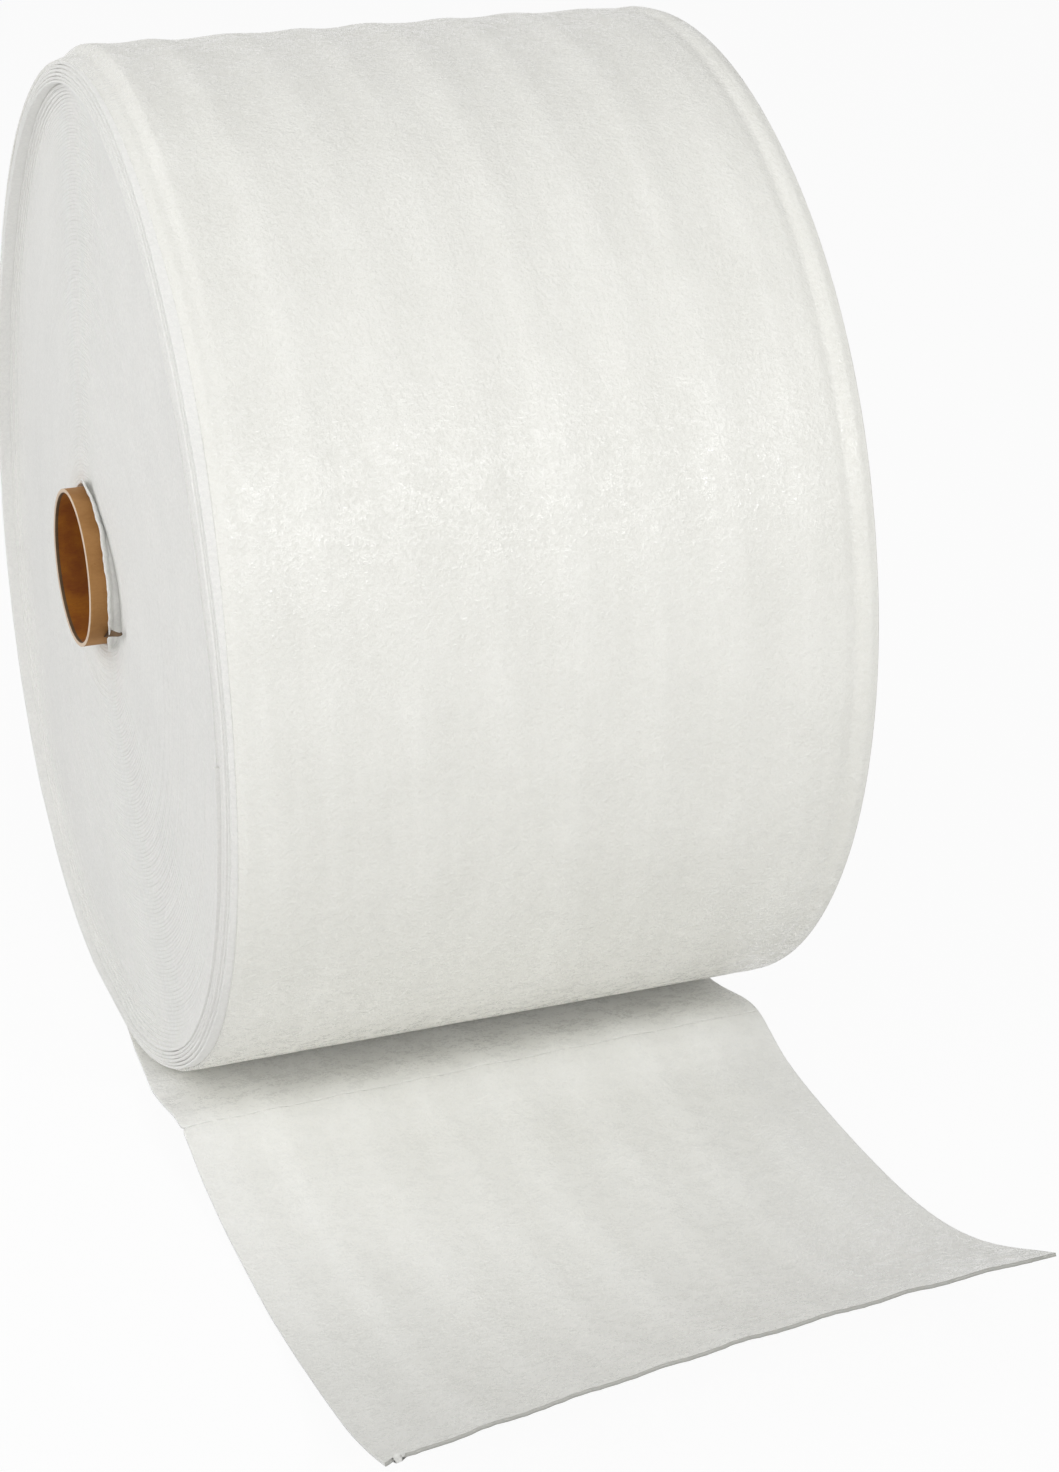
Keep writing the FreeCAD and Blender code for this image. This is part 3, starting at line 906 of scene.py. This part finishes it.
@dataclass
class WoundTurns:
    """All the turns between the tube and the last one.

    Attributes:
        size: Sizes of the roll.
        spiral: The winding tree.
    """

    size: RollSize
    spiral: WebSpiral

    def wind(self, name: str, settings: Mapping[str, object]) -> bpy.types.Object:
        """Winds a piece with what both pieces have in common.

        Args:
            name: The piece's name.
            settings: Values for the other inputs.

        Returns:
            The piece.
        """
        size = self.size
        return self.spiral.wind(name, {
            "Web Width": size.width, "Lean At Outside": 1.0, "Lean Up": 1.5 * MM,
            "Flat Depth": size.flat_depth, "Crush Depth": size.crush,
            "Crush Width": size.crush_width, "Crush Ease": size.crush_ease,
            "Crush Angle": size.crush_angle, "Foam": material_of(CUT), **settings,
        })

    def inner(self) -> bpy.types.Object:
        """The close turns on the tube, telescoped so that the side faces are shallow cones."""
        size = self.size
        turns = (size.radius - size.loose - size.tube) / size.pitch - 0.5
        return self.wind("wound_turns", {
            "Inner Radius": size.tube + size.pitch / 2,
            "Turns": turns,
            "Pitch": size.pitch,
            "Web Gauge": size.pitch * 0.985,
            "Start Angle": math.pi + TURN * turns,
            "Segments In A Turn": 90,
            "Edge Roundness": 0.14 * MM,
            "Left At Outside": size.shift - 2.0 * MM,
            "Left At Inside": size.shift - size.creep,
            "Lean Back": 6.5 * MM,
            "Lean Crosswise": 7.5 * MM,
            "Turn Scatter": 0.3 * MM,
            "Wave Height": 2.4 * MM,
            "Mouth Opening": 2.6 * MM,
            "Mouth Recess": 5.0 * MM,
            "Lip Height": 6.0 * MM,
            "Seed": 5,
        })

    def slid(self) -> bpy.types.Object:
        """The turns under the last one, which stand out in a soft rounded bead at the rim."""
        size = self.size
        turns, pitch = 5.75, 1.8 * MM
        outer = size.radius - size.gauge * 1.5
        return self.wind("slid_turns", {
            "Inner Radius": outer - turns * pitch,
            "Turns": turns,
            "Pitch": pitch,
            "Web Gauge": size.gauge,
            "Start Angle": TURN * turns - math.pi / 2,
            "Segments In A Turn": 200,
            "Edge Roundness": 0.5 * MM,
            "Left At Outside": -0.8 * MM,
            "Left At Inside": -size.slip,
            "Rounding Power": 2.2,
            "Lean At Inside": 1.0,
            "Lean Back": 2.75 * MM,
            "Lean Crosswise": 6.7 * MM,
            "Turn Scatter": 0.7 * MM,
            "Wave Height": 1.4 * MM,
            "Seed": 9,
        })


@dataclass(frozen=True)
class SheetEdge:
    """How one edge of the drawn-out sheet lies, seen from the side.

    Attributes:
        stations: Lengths of web from under the axis.
        slopes: Slope of the web at each, in degrees, up being positive.
    """

    stations: tuple[float, ...]
    slopes: tuple[float, ...]

    SAMPLES = 4001

    def trace(self, lengths: np.ndarray) -> tuple[np.ndarray, np.ndarray, np.ndarray]:
        """Follows the edge from under the axis towards the free end.

        Args:
            lengths: Lengths of web from under the axis.

        Returns:
            How far forward, how high, and the slope in radians at each length.
        """
        fine = np.linspace(0.0, self.stations[-1], self.SAMPLES)
        slope = np.radians(curve_through(fine, self.stations, self.slopes))
        gap = np.diff(fine, prepend=0.0)
        forward, high = np.cumsum(np.cos(slope) * gap), np.cumsum(np.sin(slope) * gap)
        return tuple(np.interp(lengths, fine, line) for line in (forward, high, slope))


STATIONS = (0.0, 0.045, 0.095, 0.1475, 0.1655, 0.2015, 0.239, 0.276, 0.314, 0.351,
            0.388, 0.4255, 0.463)
LEFT_EDGE = SheetEdge(
    STATIONS, (0.0, 4.2, 6.7, 6.7, -14.4, -8.4, -3.3, -0.1, 3.7, 7.5, 9.7, 17.0, 24.0))
RIGHT_EDGE = SheetEdge(
    STATIONS, (0.0, 6.5, 10.1, 7.4, -17.7, -6.8, -1.3, 0.9, 5.0, 12.0, 20.2, 28.0, 28.5))


@dataclass
class LastTurn:
    """The last turn and the sheet drawn out from it, one strip of web.

    Attributes:
        size: Sizes of the roll.
        ridges: Its thicker bands.
        left: How its left edge lies on the floor.
        right: How its right edge lies on the floor.
        to_fold: Web from under the axis to the fold at the row of cuts.
        slit_pitch: From one cut to the next.
        slit_length: Length of one cut.
        slit_width: How far a cut stands open.
        aside: How far the drawn sheet lies towards -X, at its right edge.
        narrower: How much further its left edge lies.
        swing_from: Length of web after which it swings back.
        skew: Angle that its free end swings back through, in degrees.
        spread: How much further out the right edge lies round the roll.
        behind: How far short of a full turn it starts.
        drawn_in: How far its edges, and the groove by the right one, are drawn in.
        wound_rows: Rows of points round the roll.
        near_rows: Rows from under the axis to the fold.
        far_rows: Rows from the fold to the free end.
        bow: How much higher the middle of the free end stands than its corners.
        flare: How much wider the free end is on the right.
        edge_angles: Angles round the roll, in degrees; 90 is the top, 180 the front.
        edge_shifts: How far the left edge lies towards +X at each.
    """

    size: RollSize
    ridges: Ridges
    left: SheetEdge = LEFT_EDGE
    right: SheetEdge = RIGHT_EDGE
    to_fold: float = 156.5 * MM
    slit_pitch: float = 8.0 * MM
    slit_length: float = 6.0 * MM
    slit_width: float = 0.4 * MM
    aside: float = 6.5 * MM
    narrower: float = 3.0 * MM
    swing_from: float = 50 * MM
    skew: float = 1.4
    spread: float = 3.2 * MM
    behind: float = 20 * MM
    drawn_in: float = 1.3 * MM
    wound_rows: int = 222
    near_rows: int = 44
    far_rows: int = 76
    bow: float = 5.5 * MM
    flare: float = 2.4 * MM
    edge_angles: tuple[float, ...] = (
        -90, -45, 0, 30, 55, 75, 89, 112, 140, 174, 193, 212, 226, 248, 270)
    edge_shifts: tuple[float, ...] = (
        0, 0.5, 1.5, 3.5, 4.0, 3.0, 1.9, -0.4, -0.8, -2.2, -0.1, 2.2, 3.6, 2.0, 0)

    @cached_property
    def columns(self) -> np.ndarray:
        """Places of points across the width: at each cut's ends, and closer at the edges."""
        count = int(self.size.width / self.slit_pitch)
        starts = (np.arange(count) - (count - 1) / 2) * self.slit_pitch
        cut = self.slit_length / 2
        inside = np.concatenate([starts - cut, starts, starts + cut])
        from_edge = np.array([0.0, 0.5, 1.5, 3.2, 5.2, 7.2, 9.7, 11.2, 12.8, 17.2]) * MM
        outside = self.size.half - from_edge
        return np.unique(np.round(np.concatenate([inside, outside, -outside]), 6))

    @cached_property
    def rows(self) -> np.ndarray:
        """Lengths of web from under the axis, negative round the roll, closer at the fold."""
        fold = self.to_fold
        end = fold + self.size.width
        slit = self.slit_width / 2
        near = np.array([-3.0, -1.6, -0.8]) * MM
        tail = np.concatenate([
            np.linspace(0.0, fold - 6 * MM, self.near_rows), fold + near,
            [fold - slit, fold + slit], fold - near,
            np.linspace(fold + 6 * MM, end - 2 * MM, self.far_rows), [end - 1 * MM, end]])
        wound = -np.linspace(TURN * self.size.radius - self.behind, 4 * MM, self.wound_rows)
        return np.unique(np.round(np.concatenate([wound, tail]), 6))

    def points(self) -> tuple[np.ndarray, np.ndarray]:
        """Places every point of the strip's outer face.

        Returns:
            The points as rows by columns by three, and the directions into
            the web at each.
        """
        side = (self.columns + self.size.half) / self.size.width
        wound = self.wrapped(self.rows[self.rows < 0][:, None], side)
        drawn = self.drawn_out(self.rows[self.rows >= 0][:, None], side)
        return np.concatenate([wound[0], drawn[0]]), np.concatenate([wound[1], drawn[1]])

    def drawn_out(self, reach: np.ndarray, side: np.ndarray) -> tuple[np.ndarray, np.ndarray]:
        """Places the sheet that is drawn out on the floor.

        Args:
            reach: Lengths of web from under the axis, as a column.
            side: Places across the width, 0 at the left edge and 1 at the right.

        Returns:
            The points and the directions into the web.
        """
        edges = zip(self.left.trace(reach[:, 0]), self.right.trace(reach[:, 0]))
        forward, high, slope = (
            left[:, None] * (1 - side) + right[:, None] * side for left, right in edges)
        swing = math.tan(math.radians(self.skew)) * np.maximum(reach - self.swing_from, 0.0)
        drift = self.aside + self.narrower * (1.0 - side)
        late = step(reach, 0.36, reach[-1])
        across = (self.columns - drift * np.clip(reach / 0.1, 0.0, 1.0) + swing
                  + self.flare * late * side)
        up = FLOOR + high + self.bow * late * 4.0 * side * (1.0 - side)
        return points_at(across, -forward, up), points_at(0.0, np.sin(slope), np.cos(slope))

    def wrapped(self, rows: np.ndarray, side: np.ndarray) -> tuple[np.ndarray, np.ndarray]:
        """Places the turn that lies round the roll.

        Args:
            rows: Lengths of web from under the axis, negative, as a column.
            side: Places across the width, 0 at the left edge and 1 at the right.

        Returns:
            The points and the directions into the web.
        """
        turned = -rows / self.size.radius
        angle = turned - math.pi / 2
        risen = self.size.gauge * turned / TURN
        radius = self.size.radius - risen
        place = (np.degrees(angle) + 90.0) % 360.0 - 90.0
        shift = curve_through(place, self.edge_angles, self.edge_shifts) * MM
        clear = step(turned, 0.05, 0.5) * step(-turned, -TURN + 0.1, -TURN + 0.8)
        across = self.columns + shift * (1.0 - 0.7 * side) + self.spread * side * clear
        up = np.maximum(radius * np.sin(angle), FLOOR + risen)
        inwards = points_at(0.0 * across, -np.cos(angle), -np.sin(angle))
        return points_at(across, radius * np.cos(angle), up), inwards

    def relief(self) -> np.ndarray:
        """How far each point stands out of the strip, away from the roll.

        Returns:
            Heights as rows by columns.
        """
        rows, columns = self.rows, self.columns
        half = self.size.half
        bands = self.ridges.profile(columns)[None, :]
        grow = 1.0 + 0.25 * waves(rows, 21, 0.55)[:, None]
        wander = 0.35 * MM * waves(rows, 22, 0.38)[:, None] * waves(columns, 23, 0.11)[None, :]
        soft = step(np.abs(columns), half - 4.5 * MM, half)
        groove = hump(columns, half - 11.5 * MM, 3.2 * MM)
        edge = -(soft + groove) * self.drawn_in
        turned = -rows / self.size.radius - TURN / 4
        topmost = (np.cos(turned - self.size.crush_angle) * 0.5 + 0.5) ** CRUSH_POWER
        start = half - self.size.crush_width
        rim = step(-columns, start, start + self.size.crush_ease)
        crushed = topmost[:, None] * rim[None, :]
        calm = 1.0 - 0.45 * step(turned, 1.9, 2.6)[:, None]
        unpressed = TURN * self.size.radius + rows
        resting = (step(-rows, 20 * MM, 200 * MM) * step(unpressed, 60 * MM, 420 * MM))[:, None]
        return (bands * grow * calm + wander + edge[None, :] - crushed * self.size.crush) * resting

    def build(self) -> bpy.types.Object:
        """Makes the strip with its cuts, its thickness and its torn end.

        Returns:
            The piece as a plain mesh.
        """
        rows, columns = self.rows, self.columns
        spots, inwards = self.points()
        spots = spots - inwards * self.relief()[:, :, None]
        tail = rows >= 0
        ripple = self.ridges.profile(columns)[None, :] * step(rows, 30 * MM, 120 * MM)[:, None]
        spots = spots + inwards * (ripple * 0.8)[:, :, None]
        uneven = waves(rows[tail], 31, 0.17)[:, None] * waves(columns, 32, 0.13)[None, :]
        clear = step(rows[tail], 20 * MM, 80 * MM)[:, None]
        spots[tail] += inwards[tail] * (0.5 * MM * (1 + uneven) * clear)[:, :, None]
        self.tear(spots)
        self.notch(spots)
        faces = grid_faces(len(rows), len(columns))
        piece = mesh_object("last_turn_and_sheet", spots.reshape(-1, 3), faces)
        self.mark(piece)
        self.perforate(piece)
        thicken(piece, self.size.gauge, self.thickness_side(piece))
        piece.data.polygons.foreach_set("use_smooth", [True] * len(piece.data.polygons))
        return piece

    def thickness_side(self, piece: bpy.types.Object) -> float:
        """Which way Solidify adds thickness so that it goes inside the roll."""
        face = piece.data.polygons[len(piece.data.polygons) // 4]
        away = Vector((0.0, face.center.y, face.center.z))
        return -1.0 if face.normal.dot(away) > 0 else 1.0

    def tear(self, spots: np.ndarray) -> None:
        """Makes the free end ragged, with the torn ties standing out.

        Args:
            spots: The strip's points, changed in place.
        """
        columns = self.columns
        random = np.random.default_rng(41)
        tie = np.abs(((columns / self.slit_pitch) % 1.0) - 0.5) < 0.1
        ragged = np.where(tie, random.uniform(0.1, 0.8, len(columns)),
                          random.uniform(-0.3, 0.1, len(columns))) * MM
        corner = -4.0 * MM * hump(columns, 6 * MM - self.size.half, 3.5 * MM)
        onwards = spots[-1] - spots[-3]
        onwards /= np.linalg.norm(onwards, axis=1)[:, None]
        for row, share in ((-1, 1.0), (-2, 0.7), (-3, 0.4), (-4, 0.15)):
            spots[row] += onwards * ((ragged + corner) * share)[:, None]

    def notch(self, spots: np.ndarray) -> None:
        """Opens the left end of the row of cuts, which has begun to tear.

        Args:
            spots: The strip's points, changed in place.
        """
        close = hump(self.rows, self.to_fold, 1.1 * MM)[:, None]
        left = step(-self.columns, self.size.half - 6 * MM, self.size.half)[None, :]
        spots[:, :, 0] += 2.6 * MM * close * left

    def mark(self, piece: bpy.types.Object) -> None:
        """Stores each point's place on the flat web, for the cuts, the finish and the painted shade.

        Args:
            piece: The single-layer strip.
        """
        along, across = np.meshgrid(self.rows, self.columns, indexing="ij")
        band = np.clip(self.ridges.profile(across) / self.ridges.height, 0.0, 1.0)
        side = across / self.size.width + 0.5
        # Painted shade, stored as torn: darker towards the free end and more so at the left edge, a
        # little darker between the bands near the roll, and a grey shadow line along the torn edge.
        torn = (0.31 - 0.2 * side) * step(along, 0.21, self.rows[-1] - 70 * MM)
        torn += 0.05 * (1.0 - band) * step(along, 0.08, 0.2)
        torn[-1] = 1.0
        for name, values in (
                ("web_length", along), ("web_across", across), ("band", band), ("torn", torn)):
            attribute = piece.data.attributes.new(name, "FLOAT", "POINT")
            attribute.data.foreach_set("value", values.astype(np.float32).ravel())

    def perforate(self, piece: bpy.types.Object) -> None:
        """Cuts the row of slits with geometry nodes, which also dress the strip.

        Args:
            piece: The strip, changed in place.
        """
        sizes = {
            "Line At": self.to_fold, "Slit Pitch": self.slit_pitch,
            "Slit Length": self.slit_length, "Slit Width": self.slit_width,
            "Half Width": self.size.half,
        }
        tool = NodeTool("perforate_web", {**sizes, "Foam": None})
        graph = tool.graph
        line, pitch, long, wide, half = (tool.given(name) for name in sizes)
        along, across = graph.stored("web_length"), graph.stored("web_across")
        on_line = (along - line).math("ABSOLUTE").math("LESS_THAN", wide * 0.5)
        phase = across / pitch + (half * 2.0 / pitch).math("FLOOR") * 0.5
        in_slit = (phase.math("FRACT") - 0.5).math("ABSOLUTE").math("LESS_THAN", long / pitch * 0.5)
        slit = graph.add(
            "GeometryNodeDeleteGeometry",
            {"Geometry": tool.source.outputs["Geometry"], "Selection": on_line * in_slit},
            domain="FACE", mode="ALL",
        )
        tool.close(slit.outputs[0])
        tool.run(piece, {**sizes, "Foam": material_of(SKIN)})


# ----------------------------------------------------------------- the tube


@dataclass
class PaperTube:
    """The spiral-wound paperboard tube.

    Attributes:
        bore: Inside radius.
        wall: Thickness of the wall.
        ply_lead: How far the paper ply advances in one turn.
        ply_step: How far a ply's edge stands up.
        uneven: How far it is out of round, and how deep its left end is dented.
        broken: How far its cut edges are rubbed away.
        around: Points round the tube.
        along: Points along it.
    """

    bore: float = 38.1 * MM
    wall: float = 2.0 * MM
    ply_lead: float = 92.0 * MM
    ply_step: float = 0.22 * MM
    uneven: float = 0.35 * MM
    broken: float = 0.4 * MM
    around: int = 180
    along: int = 150

    def build(self) -> bpy.types.Object:
        """Makes the tube, closed, with its seams, broken edges and painted shade inside each rim.

        Returns:
            The piece.
        """
        low, high = TUBE_LOW.x, TUBE_HIGH.x
        angle = np.linspace(0.0, TURN, self.around, endpoint=False)
        length = np.concatenate([
            [low, low + self.broken], np.linspace(low + 2 * MM, high - 2 * MM, self.along),
            [high - self.broken, high]])
        bevel = np.zeros_like(length)
        bevel[[0, -1]] = self.broken
        outer = self.surface(length, angle, self.bore + self.wall - bevel, 1.0)
        inner = self.surface(length[::-1], angle, self.bore + bevel[::-1], -1.0)
        rings = np.concatenate([outer, inner])
        rows = len(rings)
        faces = grid_faces(rows, self.around, wrap=True)
        last = grid_faces(2, self.around, wrap=True)
        closing = np.where(last < self.around, last + (rows - 1) * self.around, last - self.around)
        piece = mesh_object(
            "paper_core", rings.reshape(-1, 3), np.concatenate([faces, closing]))
        face_outwards(piece)
        for finish in (KRAFT_OUTSIDE, KRAFT_INSIDE, KRAFT_CUT, KRAFT_TORN_PLY_AND_BORE_SHADE):
            piece.data.materials.append(material_of(finish))
        half = len(length)
        ring = np.repeat(np.arange(rows), self.around)
        outside, inside, cut, torn = range(4)
        kind = np.where(ring < half - 1, outside, inside)
        kind[np.isin(ring, [0, half - 2, half - 1, half, rows - 2, rows - 1])] = cut
        # Painted shade: the narrow ring of bore just inside each rim takes the dark torn-ply colour,
        # standing in for the shade behind the rim.
        kind[np.isin(ring, [half + 1, rows - 3])] = torn
        piece.data.polygons.foreach_set("material_index", kind.astype(np.int32))
        return piece

    def surface(
        self, length: np.ndarray, angle: np.ndarray, radius: np.ndarray, side: float
    ) -> np.ndarray:
        """Points of the outer or inner surface.

        Args:
            length: Places along X.
            angle: Angles about X.
            radius: Radius at each place.
            side: 1 for the outside, whose ply edge stands up, -1 for the inside.

        Returns:
            The points, rings by angles by three.
        """
        along, turned = np.meshgrid(length, angle, indexing="ij")
        phase = (along / self.ply_lead + side * turned / TURN) % 1.0
        low, high = TUBE_LOW.x, TUBE_HIGH.x
        ends = step(along, low, low + 1 * MM) * step(-along, -high, 1 * MM - high)
        seam = self.ply_step * (np.exp(-phase * 14.0) - step(phase, 0.985, 1.0)) * ends
        oval = self.uneven * np.cos(2 * turned + 0.6)
        dent = -self.uneven * hump(along, low, 12 * MM) * np.cos(3 * turned + 1.1)
        raised = side * np.minimum(seam, 0.15 * MM)
        size = radius[:, None] + (raised + (oval + dent) * ends) * 0.5
        return points_at(along, size * np.cos(turned), size * np.sin(turned))


@dataclass
class WebStart:
    """The start of the web, crumpled in the gap beside the tube.

    Attributes:
        depth: How far it reaches into the roll.
        gauge: Its thickness.
        angles: Angles round the tube, in degrees; 90 is the top, 180 the front.
        radii: Its middle radius at each.
        lefts: Where its left edge lies at each.
        rows: Points round the tube.
        columns: Points across the strip.
    """

    depth: float = 22.0 * MM
    gauge: float = 0.9 * MM
    angles: tuple[float, ...] = (58, 74, 86, 94, 101, 108, 116, 128, 150, 180, 205, 230, 254)
    radii: tuple[float, ...] = (
        42.0, 42.6, 44.0, 48.0, 50.5, 48.0, 46.4, 46.0, 46.2, 46.2, 45.6, 44.0, 42.0)
    lefts: tuple[float, ...] = (
        -154.0, -157.0, -159.6, -161.8, -162.4, -161.4, -160.7, -160.3, -160.6, -160.3, -159.6,
        -157.6, -154.0)
    rows: int = 240
    columns: int = 36

    def middle(self) -> tuple[np.ndarray, np.ndarray]:
        """The strip's left edge.

        Returns:
            Its angles in radians and its radii, one for each row.
        """
        place = np.linspace(self.angles[0], self.angles[-1], self.rows)
        ruck = 0.6 * waves(place, 51, 23.0) + 0.3 * waves(place, 52, 7.0)
        radius = curve_through(place, self.angles, self.radii) + ruck
        return np.radians(place), radius * MM

    @property
    def flat(self) -> tuple[float, float]:
        """The strip's size laid flat."""
        angle, radius = self.middle()
        run = np.column_stack([radius * np.cos(angle), radius * np.sin(angle)])
        return self.depth, float(np.linalg.norm(np.diff(run, axis=0), axis=1).sum())

    def build(self) -> bpy.types.Object:
        """Makes the crumpled strip.

        Returns:
            The piece.
        """
        angle, radius = self.middle()
        share = np.linspace(0.0, 1.0, self.columns)[None, :]
        place = np.degrees(angle)
        left = curve_through(place, self.angles, self.lefts) + 0.35 * waves(place, 53, 31.0)
        calm = 1.0 - step(share, 0.0, 0.16)
        size = (TUBE_HIGH.z + 1.6 * MM) * (1 - calm) + radius[:, None] * calm
        spots = points_at(
            (left * MM)[:, None] + self.depth * share,
            size * np.cos(angle)[:, None], size * np.sin(angle)[:, None])
        return layer("web_start", spots, self.gauge, CUT)


@dataclass
class TornPly:
    """A torn tongue of the tube's outer ply, which stands off where the foam starts.

    Attributes:
        root_angles: Angles of its root on the tube, in degrees.
        root_left: Where its root's left end lies.
        root_right: Where its root's right end lies.
        tip: Angle in degrees, radius and X of its tip.
        tip_width: Width near its tip.
        gauge: Thickness of the ply.
        rows: Points from root to tip.
        columns: Points across it.
    """

    root_angles: tuple[float, float] = (211.0, 222.0)
    root_left: float = -159.4 * MM
    root_right: float = -157.8 * MM
    tip: tuple[float, float, float] = (188.3, 68.0 * MM, -159.0 * MM)
    tip_width: float = 1.5 * MM
    gauge: float = 0.6 * MM
    rows: int = 16
    columns: int = 9

    def build(self) -> bpy.types.Object:
        """Makes the tongue.

        Returns:
            The piece.
        """
        along, across = np.meshgrid(
            np.linspace(0, 1, self.rows), np.linspace(-0.5, 0.5, self.columns), indexing="ij")
        turned = np.radians(np.mean(self.root_angles) + across * np.ptp(self.root_angles))
        left = self.root_left + (self.root_right - self.root_left) * (0.5 - across)
        outside = TUBE_HIGH.z + 0.1 * MM
        root = points_at(left, outside * np.cos(turned), outside * np.sin(turned))
        angle = math.radians(self.tip[0])
        end = np.array([self.tip[2], self.tip[1] * math.cos(angle), self.tip[1] * math.sin(angle)])
        down = np.array([-0.3, math.sin(angle), -math.cos(angle)]) * -self.tip_width
        narrow = along ** (0.6 - 0.5 * across)
        tip = end + across[..., None] * down
        spots = root * (1 - narrow[..., None]) + tip * narrow[..., None]
        outward = np.array([0.0, math.cos(angle), math.sin(angle)])
        bend = np.sin(along * math.pi) * 1.1 * MM + waves(across, 61, 0.7) * 0.25 * MM * along
        spots += bend[..., None] * outward
        return layer("torn_ply", spots, self.gauge, KRAFT_TORN_PLY_AND_BORE_SHADE)


# --------------------------------------------------------------- the studio


def towards(azimuth: float, elevation: float) -> Vector:
    """The way from the roll to something.

    Args:
        azimuth: Where it stands, in degrees; 0 is in front, on the -Y side.
        elevation: How high it stands, in degrees.

    Returns:
        A vector one long.
    """
    turned, raised = math.radians(azimuth), math.radians(elevation)
    level = math.cos(raised)
    return Vector((math.sin(turned) * level, -math.cos(turned) * level, math.sin(raised)))


def seen(graph: Graph) -> Value:
    """1 where the camera looks, also by a mirror or a pane, and 0 for light on the roll."""
    path = graph.add("ShaderNodeLightPath")
    camera, glossy, passed = (
        graph.value(path, f"Is {ray} Ray") for ray in ("Camera", "Glossy", "Transmission"))
    return (camera + glossy + passed).clamped()


@dataclass(frozen=True)
class Softbox:
    """One soft lamp.

    Attributes:
        name: The lamp's name.
        azimuth: Where it stands, in degrees; 0 is in front, on the -Y side.
        elevation: How high it stands, in degrees.
        side: Length of its square's side.
        power: Watts.
    """

    name: str
    azimuth: float
    elevation: float
    side: float
    power: float


@dataclass
class Studio:
    """Floor, light and camera.

    Attributes:
        boxes: The soft lamps.
        distance: How far the lamps stand from the roll.
        reach: How far the floor reaches each way.
        glow: How much of the floor that the camera sees is plain white.
        ambient: Strength of the even light from all round.
        lens: Focal length on a 36 mm long side.
        place: Where the camera stands.
        azimuth: The way it looks, in degrees from +Y.
        elevation: How far it looks down, in degrees.
        roll: How far it is turned about its own axis, in degrees.
        rise: Vertical shift, as a share of the long side.
    """

    boxes: tuple[Softbox, ...] = (
        Softbox("key", 14.0, 33.0, 1.1, 9.0),
        Softbox("spark", 15.0, 25.0, 0.14, 10.5),
        Softbox("front", -22.0, 24.0, 1.4, 10.0),
        Softbox("left", -75.0, 20.0, 1.6, 14.0),
        Softbox("back", -112.0, 30.0, 1.6, 14.0),
        Softbox("top", 0.0, 88.0, 2.0, 9.5),
    )
    distance: float = 2.6
    reach: float = 14.0
    glow: float = 0.94
    ambient: float = 0.27
    lens: float = 78.544565
    place: tuple[float, float, float] = (-0.4780, -1.4771, 0.6095)
    azimuth: float = -20.61
    elevation: float = 22.02
    roll: float = 0.57
    rise: float = -0.1189

    def build(self) -> None:
        """Sets up the whole studio."""
        self.floor()
        self.light()
        self.camera()
        bpy.context.scene.view_settings.view_transform = "Standard"

    def floor(self) -> None:
        """Lays a wide pale floor, which keeps the roll's shadow."""
        corners = self.reach * np.array([(-1, -1), (1, -1), (1, 1), (-1, 1)])
        points = np.column_stack([corners, np.full(4, FLOOR)])
        ground = mesh_object("studio_floor", points, [(0, 1, 2, 3)], smooth=False)
        surface = Surface("pale_floor")
        surface.dress(0.0, Base_Color=(0.78, 0.78, 0.78, 1.0), Roughness=0.9, Specular_IOR_Level=0.1)
        graph = surface.graph
        paper = graph.add("ShaderNodeEmission", {"Color": (1, 1, 1, 1), "Strength": 1.0})
        plain = surface.nodes["Principled BSDF"]
        mixed = graph.add(
            "ShaderNodeMixShader",
            {0: seen(graph) * self.glow, 1: plain.outputs[0], 2: paper.outputs[0]},
        )
        graph.feed(surface.nodes["Material Output"].inputs["Surface"], mixed.outputs[0])
        ground.data.materials.append(surface.material)

    def light(self) -> None:
        """Hangs the soft lamps and sets the even light."""
        world = bpy.data.worlds.new("studio_light")
        bpy.context.scene.world = world
        world.use_nodes = True
        graph = Graph(world.node_tree)
        strength = self.ambient + seen(graph) * (1.0 - self.ambient)
        background = world.node_tree.nodes["Background"]
        background.inputs["Color"].default_value = (1, 1, 1, 1)
        graph.feed(background.inputs["Strength"], strength)
        for box in self.boxes:
            lamp = bpy.data.lights.new(box.name, "AREA")
            lamp.shape, lamp.size, lamp.energy = "SQUARE", box.side, box.power
            stand = bpy.data.objects.new(box.name, lamp)
            bpy.context.scene.collection.objects.link(stand)
            away = towards(box.azimuth, box.elevation)
            stand.location = away * self.distance
            stand.rotation_mode = "QUATERNION"
            stand.rotation_quaternion = (-away).to_track_quat("-Z", "Y")

    def camera(self) -> None:
        """Stands the camera in front of the roll, to the left and above."""
        data = bpy.data.cameras.new("studio_camera")
        data.sensor_width, data.lens, data.shift_y = 36.0, self.lens, self.rise
        data.clip_start, data.clip_end = 0.05, 60.0
        stand = bpy.data.objects.new("studio_camera", data)
        bpy.context.scene.collection.objects.link(stand)
        facing = (-towards(self.azimuth, self.elevation)).to_track_quat("-Z", "Y").to_matrix()
        tilted = facing @ Matrix.Rotation(math.radians(self.roll), 3, "Z")
        stand.matrix_world = Matrix.Translation(self.place) @ tilted.to_4x4()
        bpy.context.scene.camera = stand


# --------------------------------------------------------------------- main


def report(piece: bpy.types.Object) -> None:
    """Says how large a finished piece is."""
    faces = sum(len(face.vertices) - 2 for face in piece.data.polygons)
    LOG.info("%s: %d triangles", piece.name, faces)


def main() -> None:
    """Builds the studio, then each piece, and gives each its body."""
    Studio().build()
    size = RollSize()
    turns = WoundTurns(size, WebSpiral())
    last = LastTurn(size, Ridges())
    strip = last.build()
    wound, slid, tube = turns.inner(), turns.slid(), PaperTube().build()
    start, ply = WebStart().build(), TornPly().build()
    for piece, slot in (
        (strip, Slot.FOAM), (wound, Slot.FOAM), (slid, Slot.FOAM), (start, Slot.FOAM),
        (tube, Slot.PAPERBOARD), (ply, Slot.PAPERBOARD),
    ):
        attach(piece, "root")
        report(piece)
    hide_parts("foam_web")
    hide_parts("core_tube")
    WebStart().flat


if __name__ == "__main__":
    main()
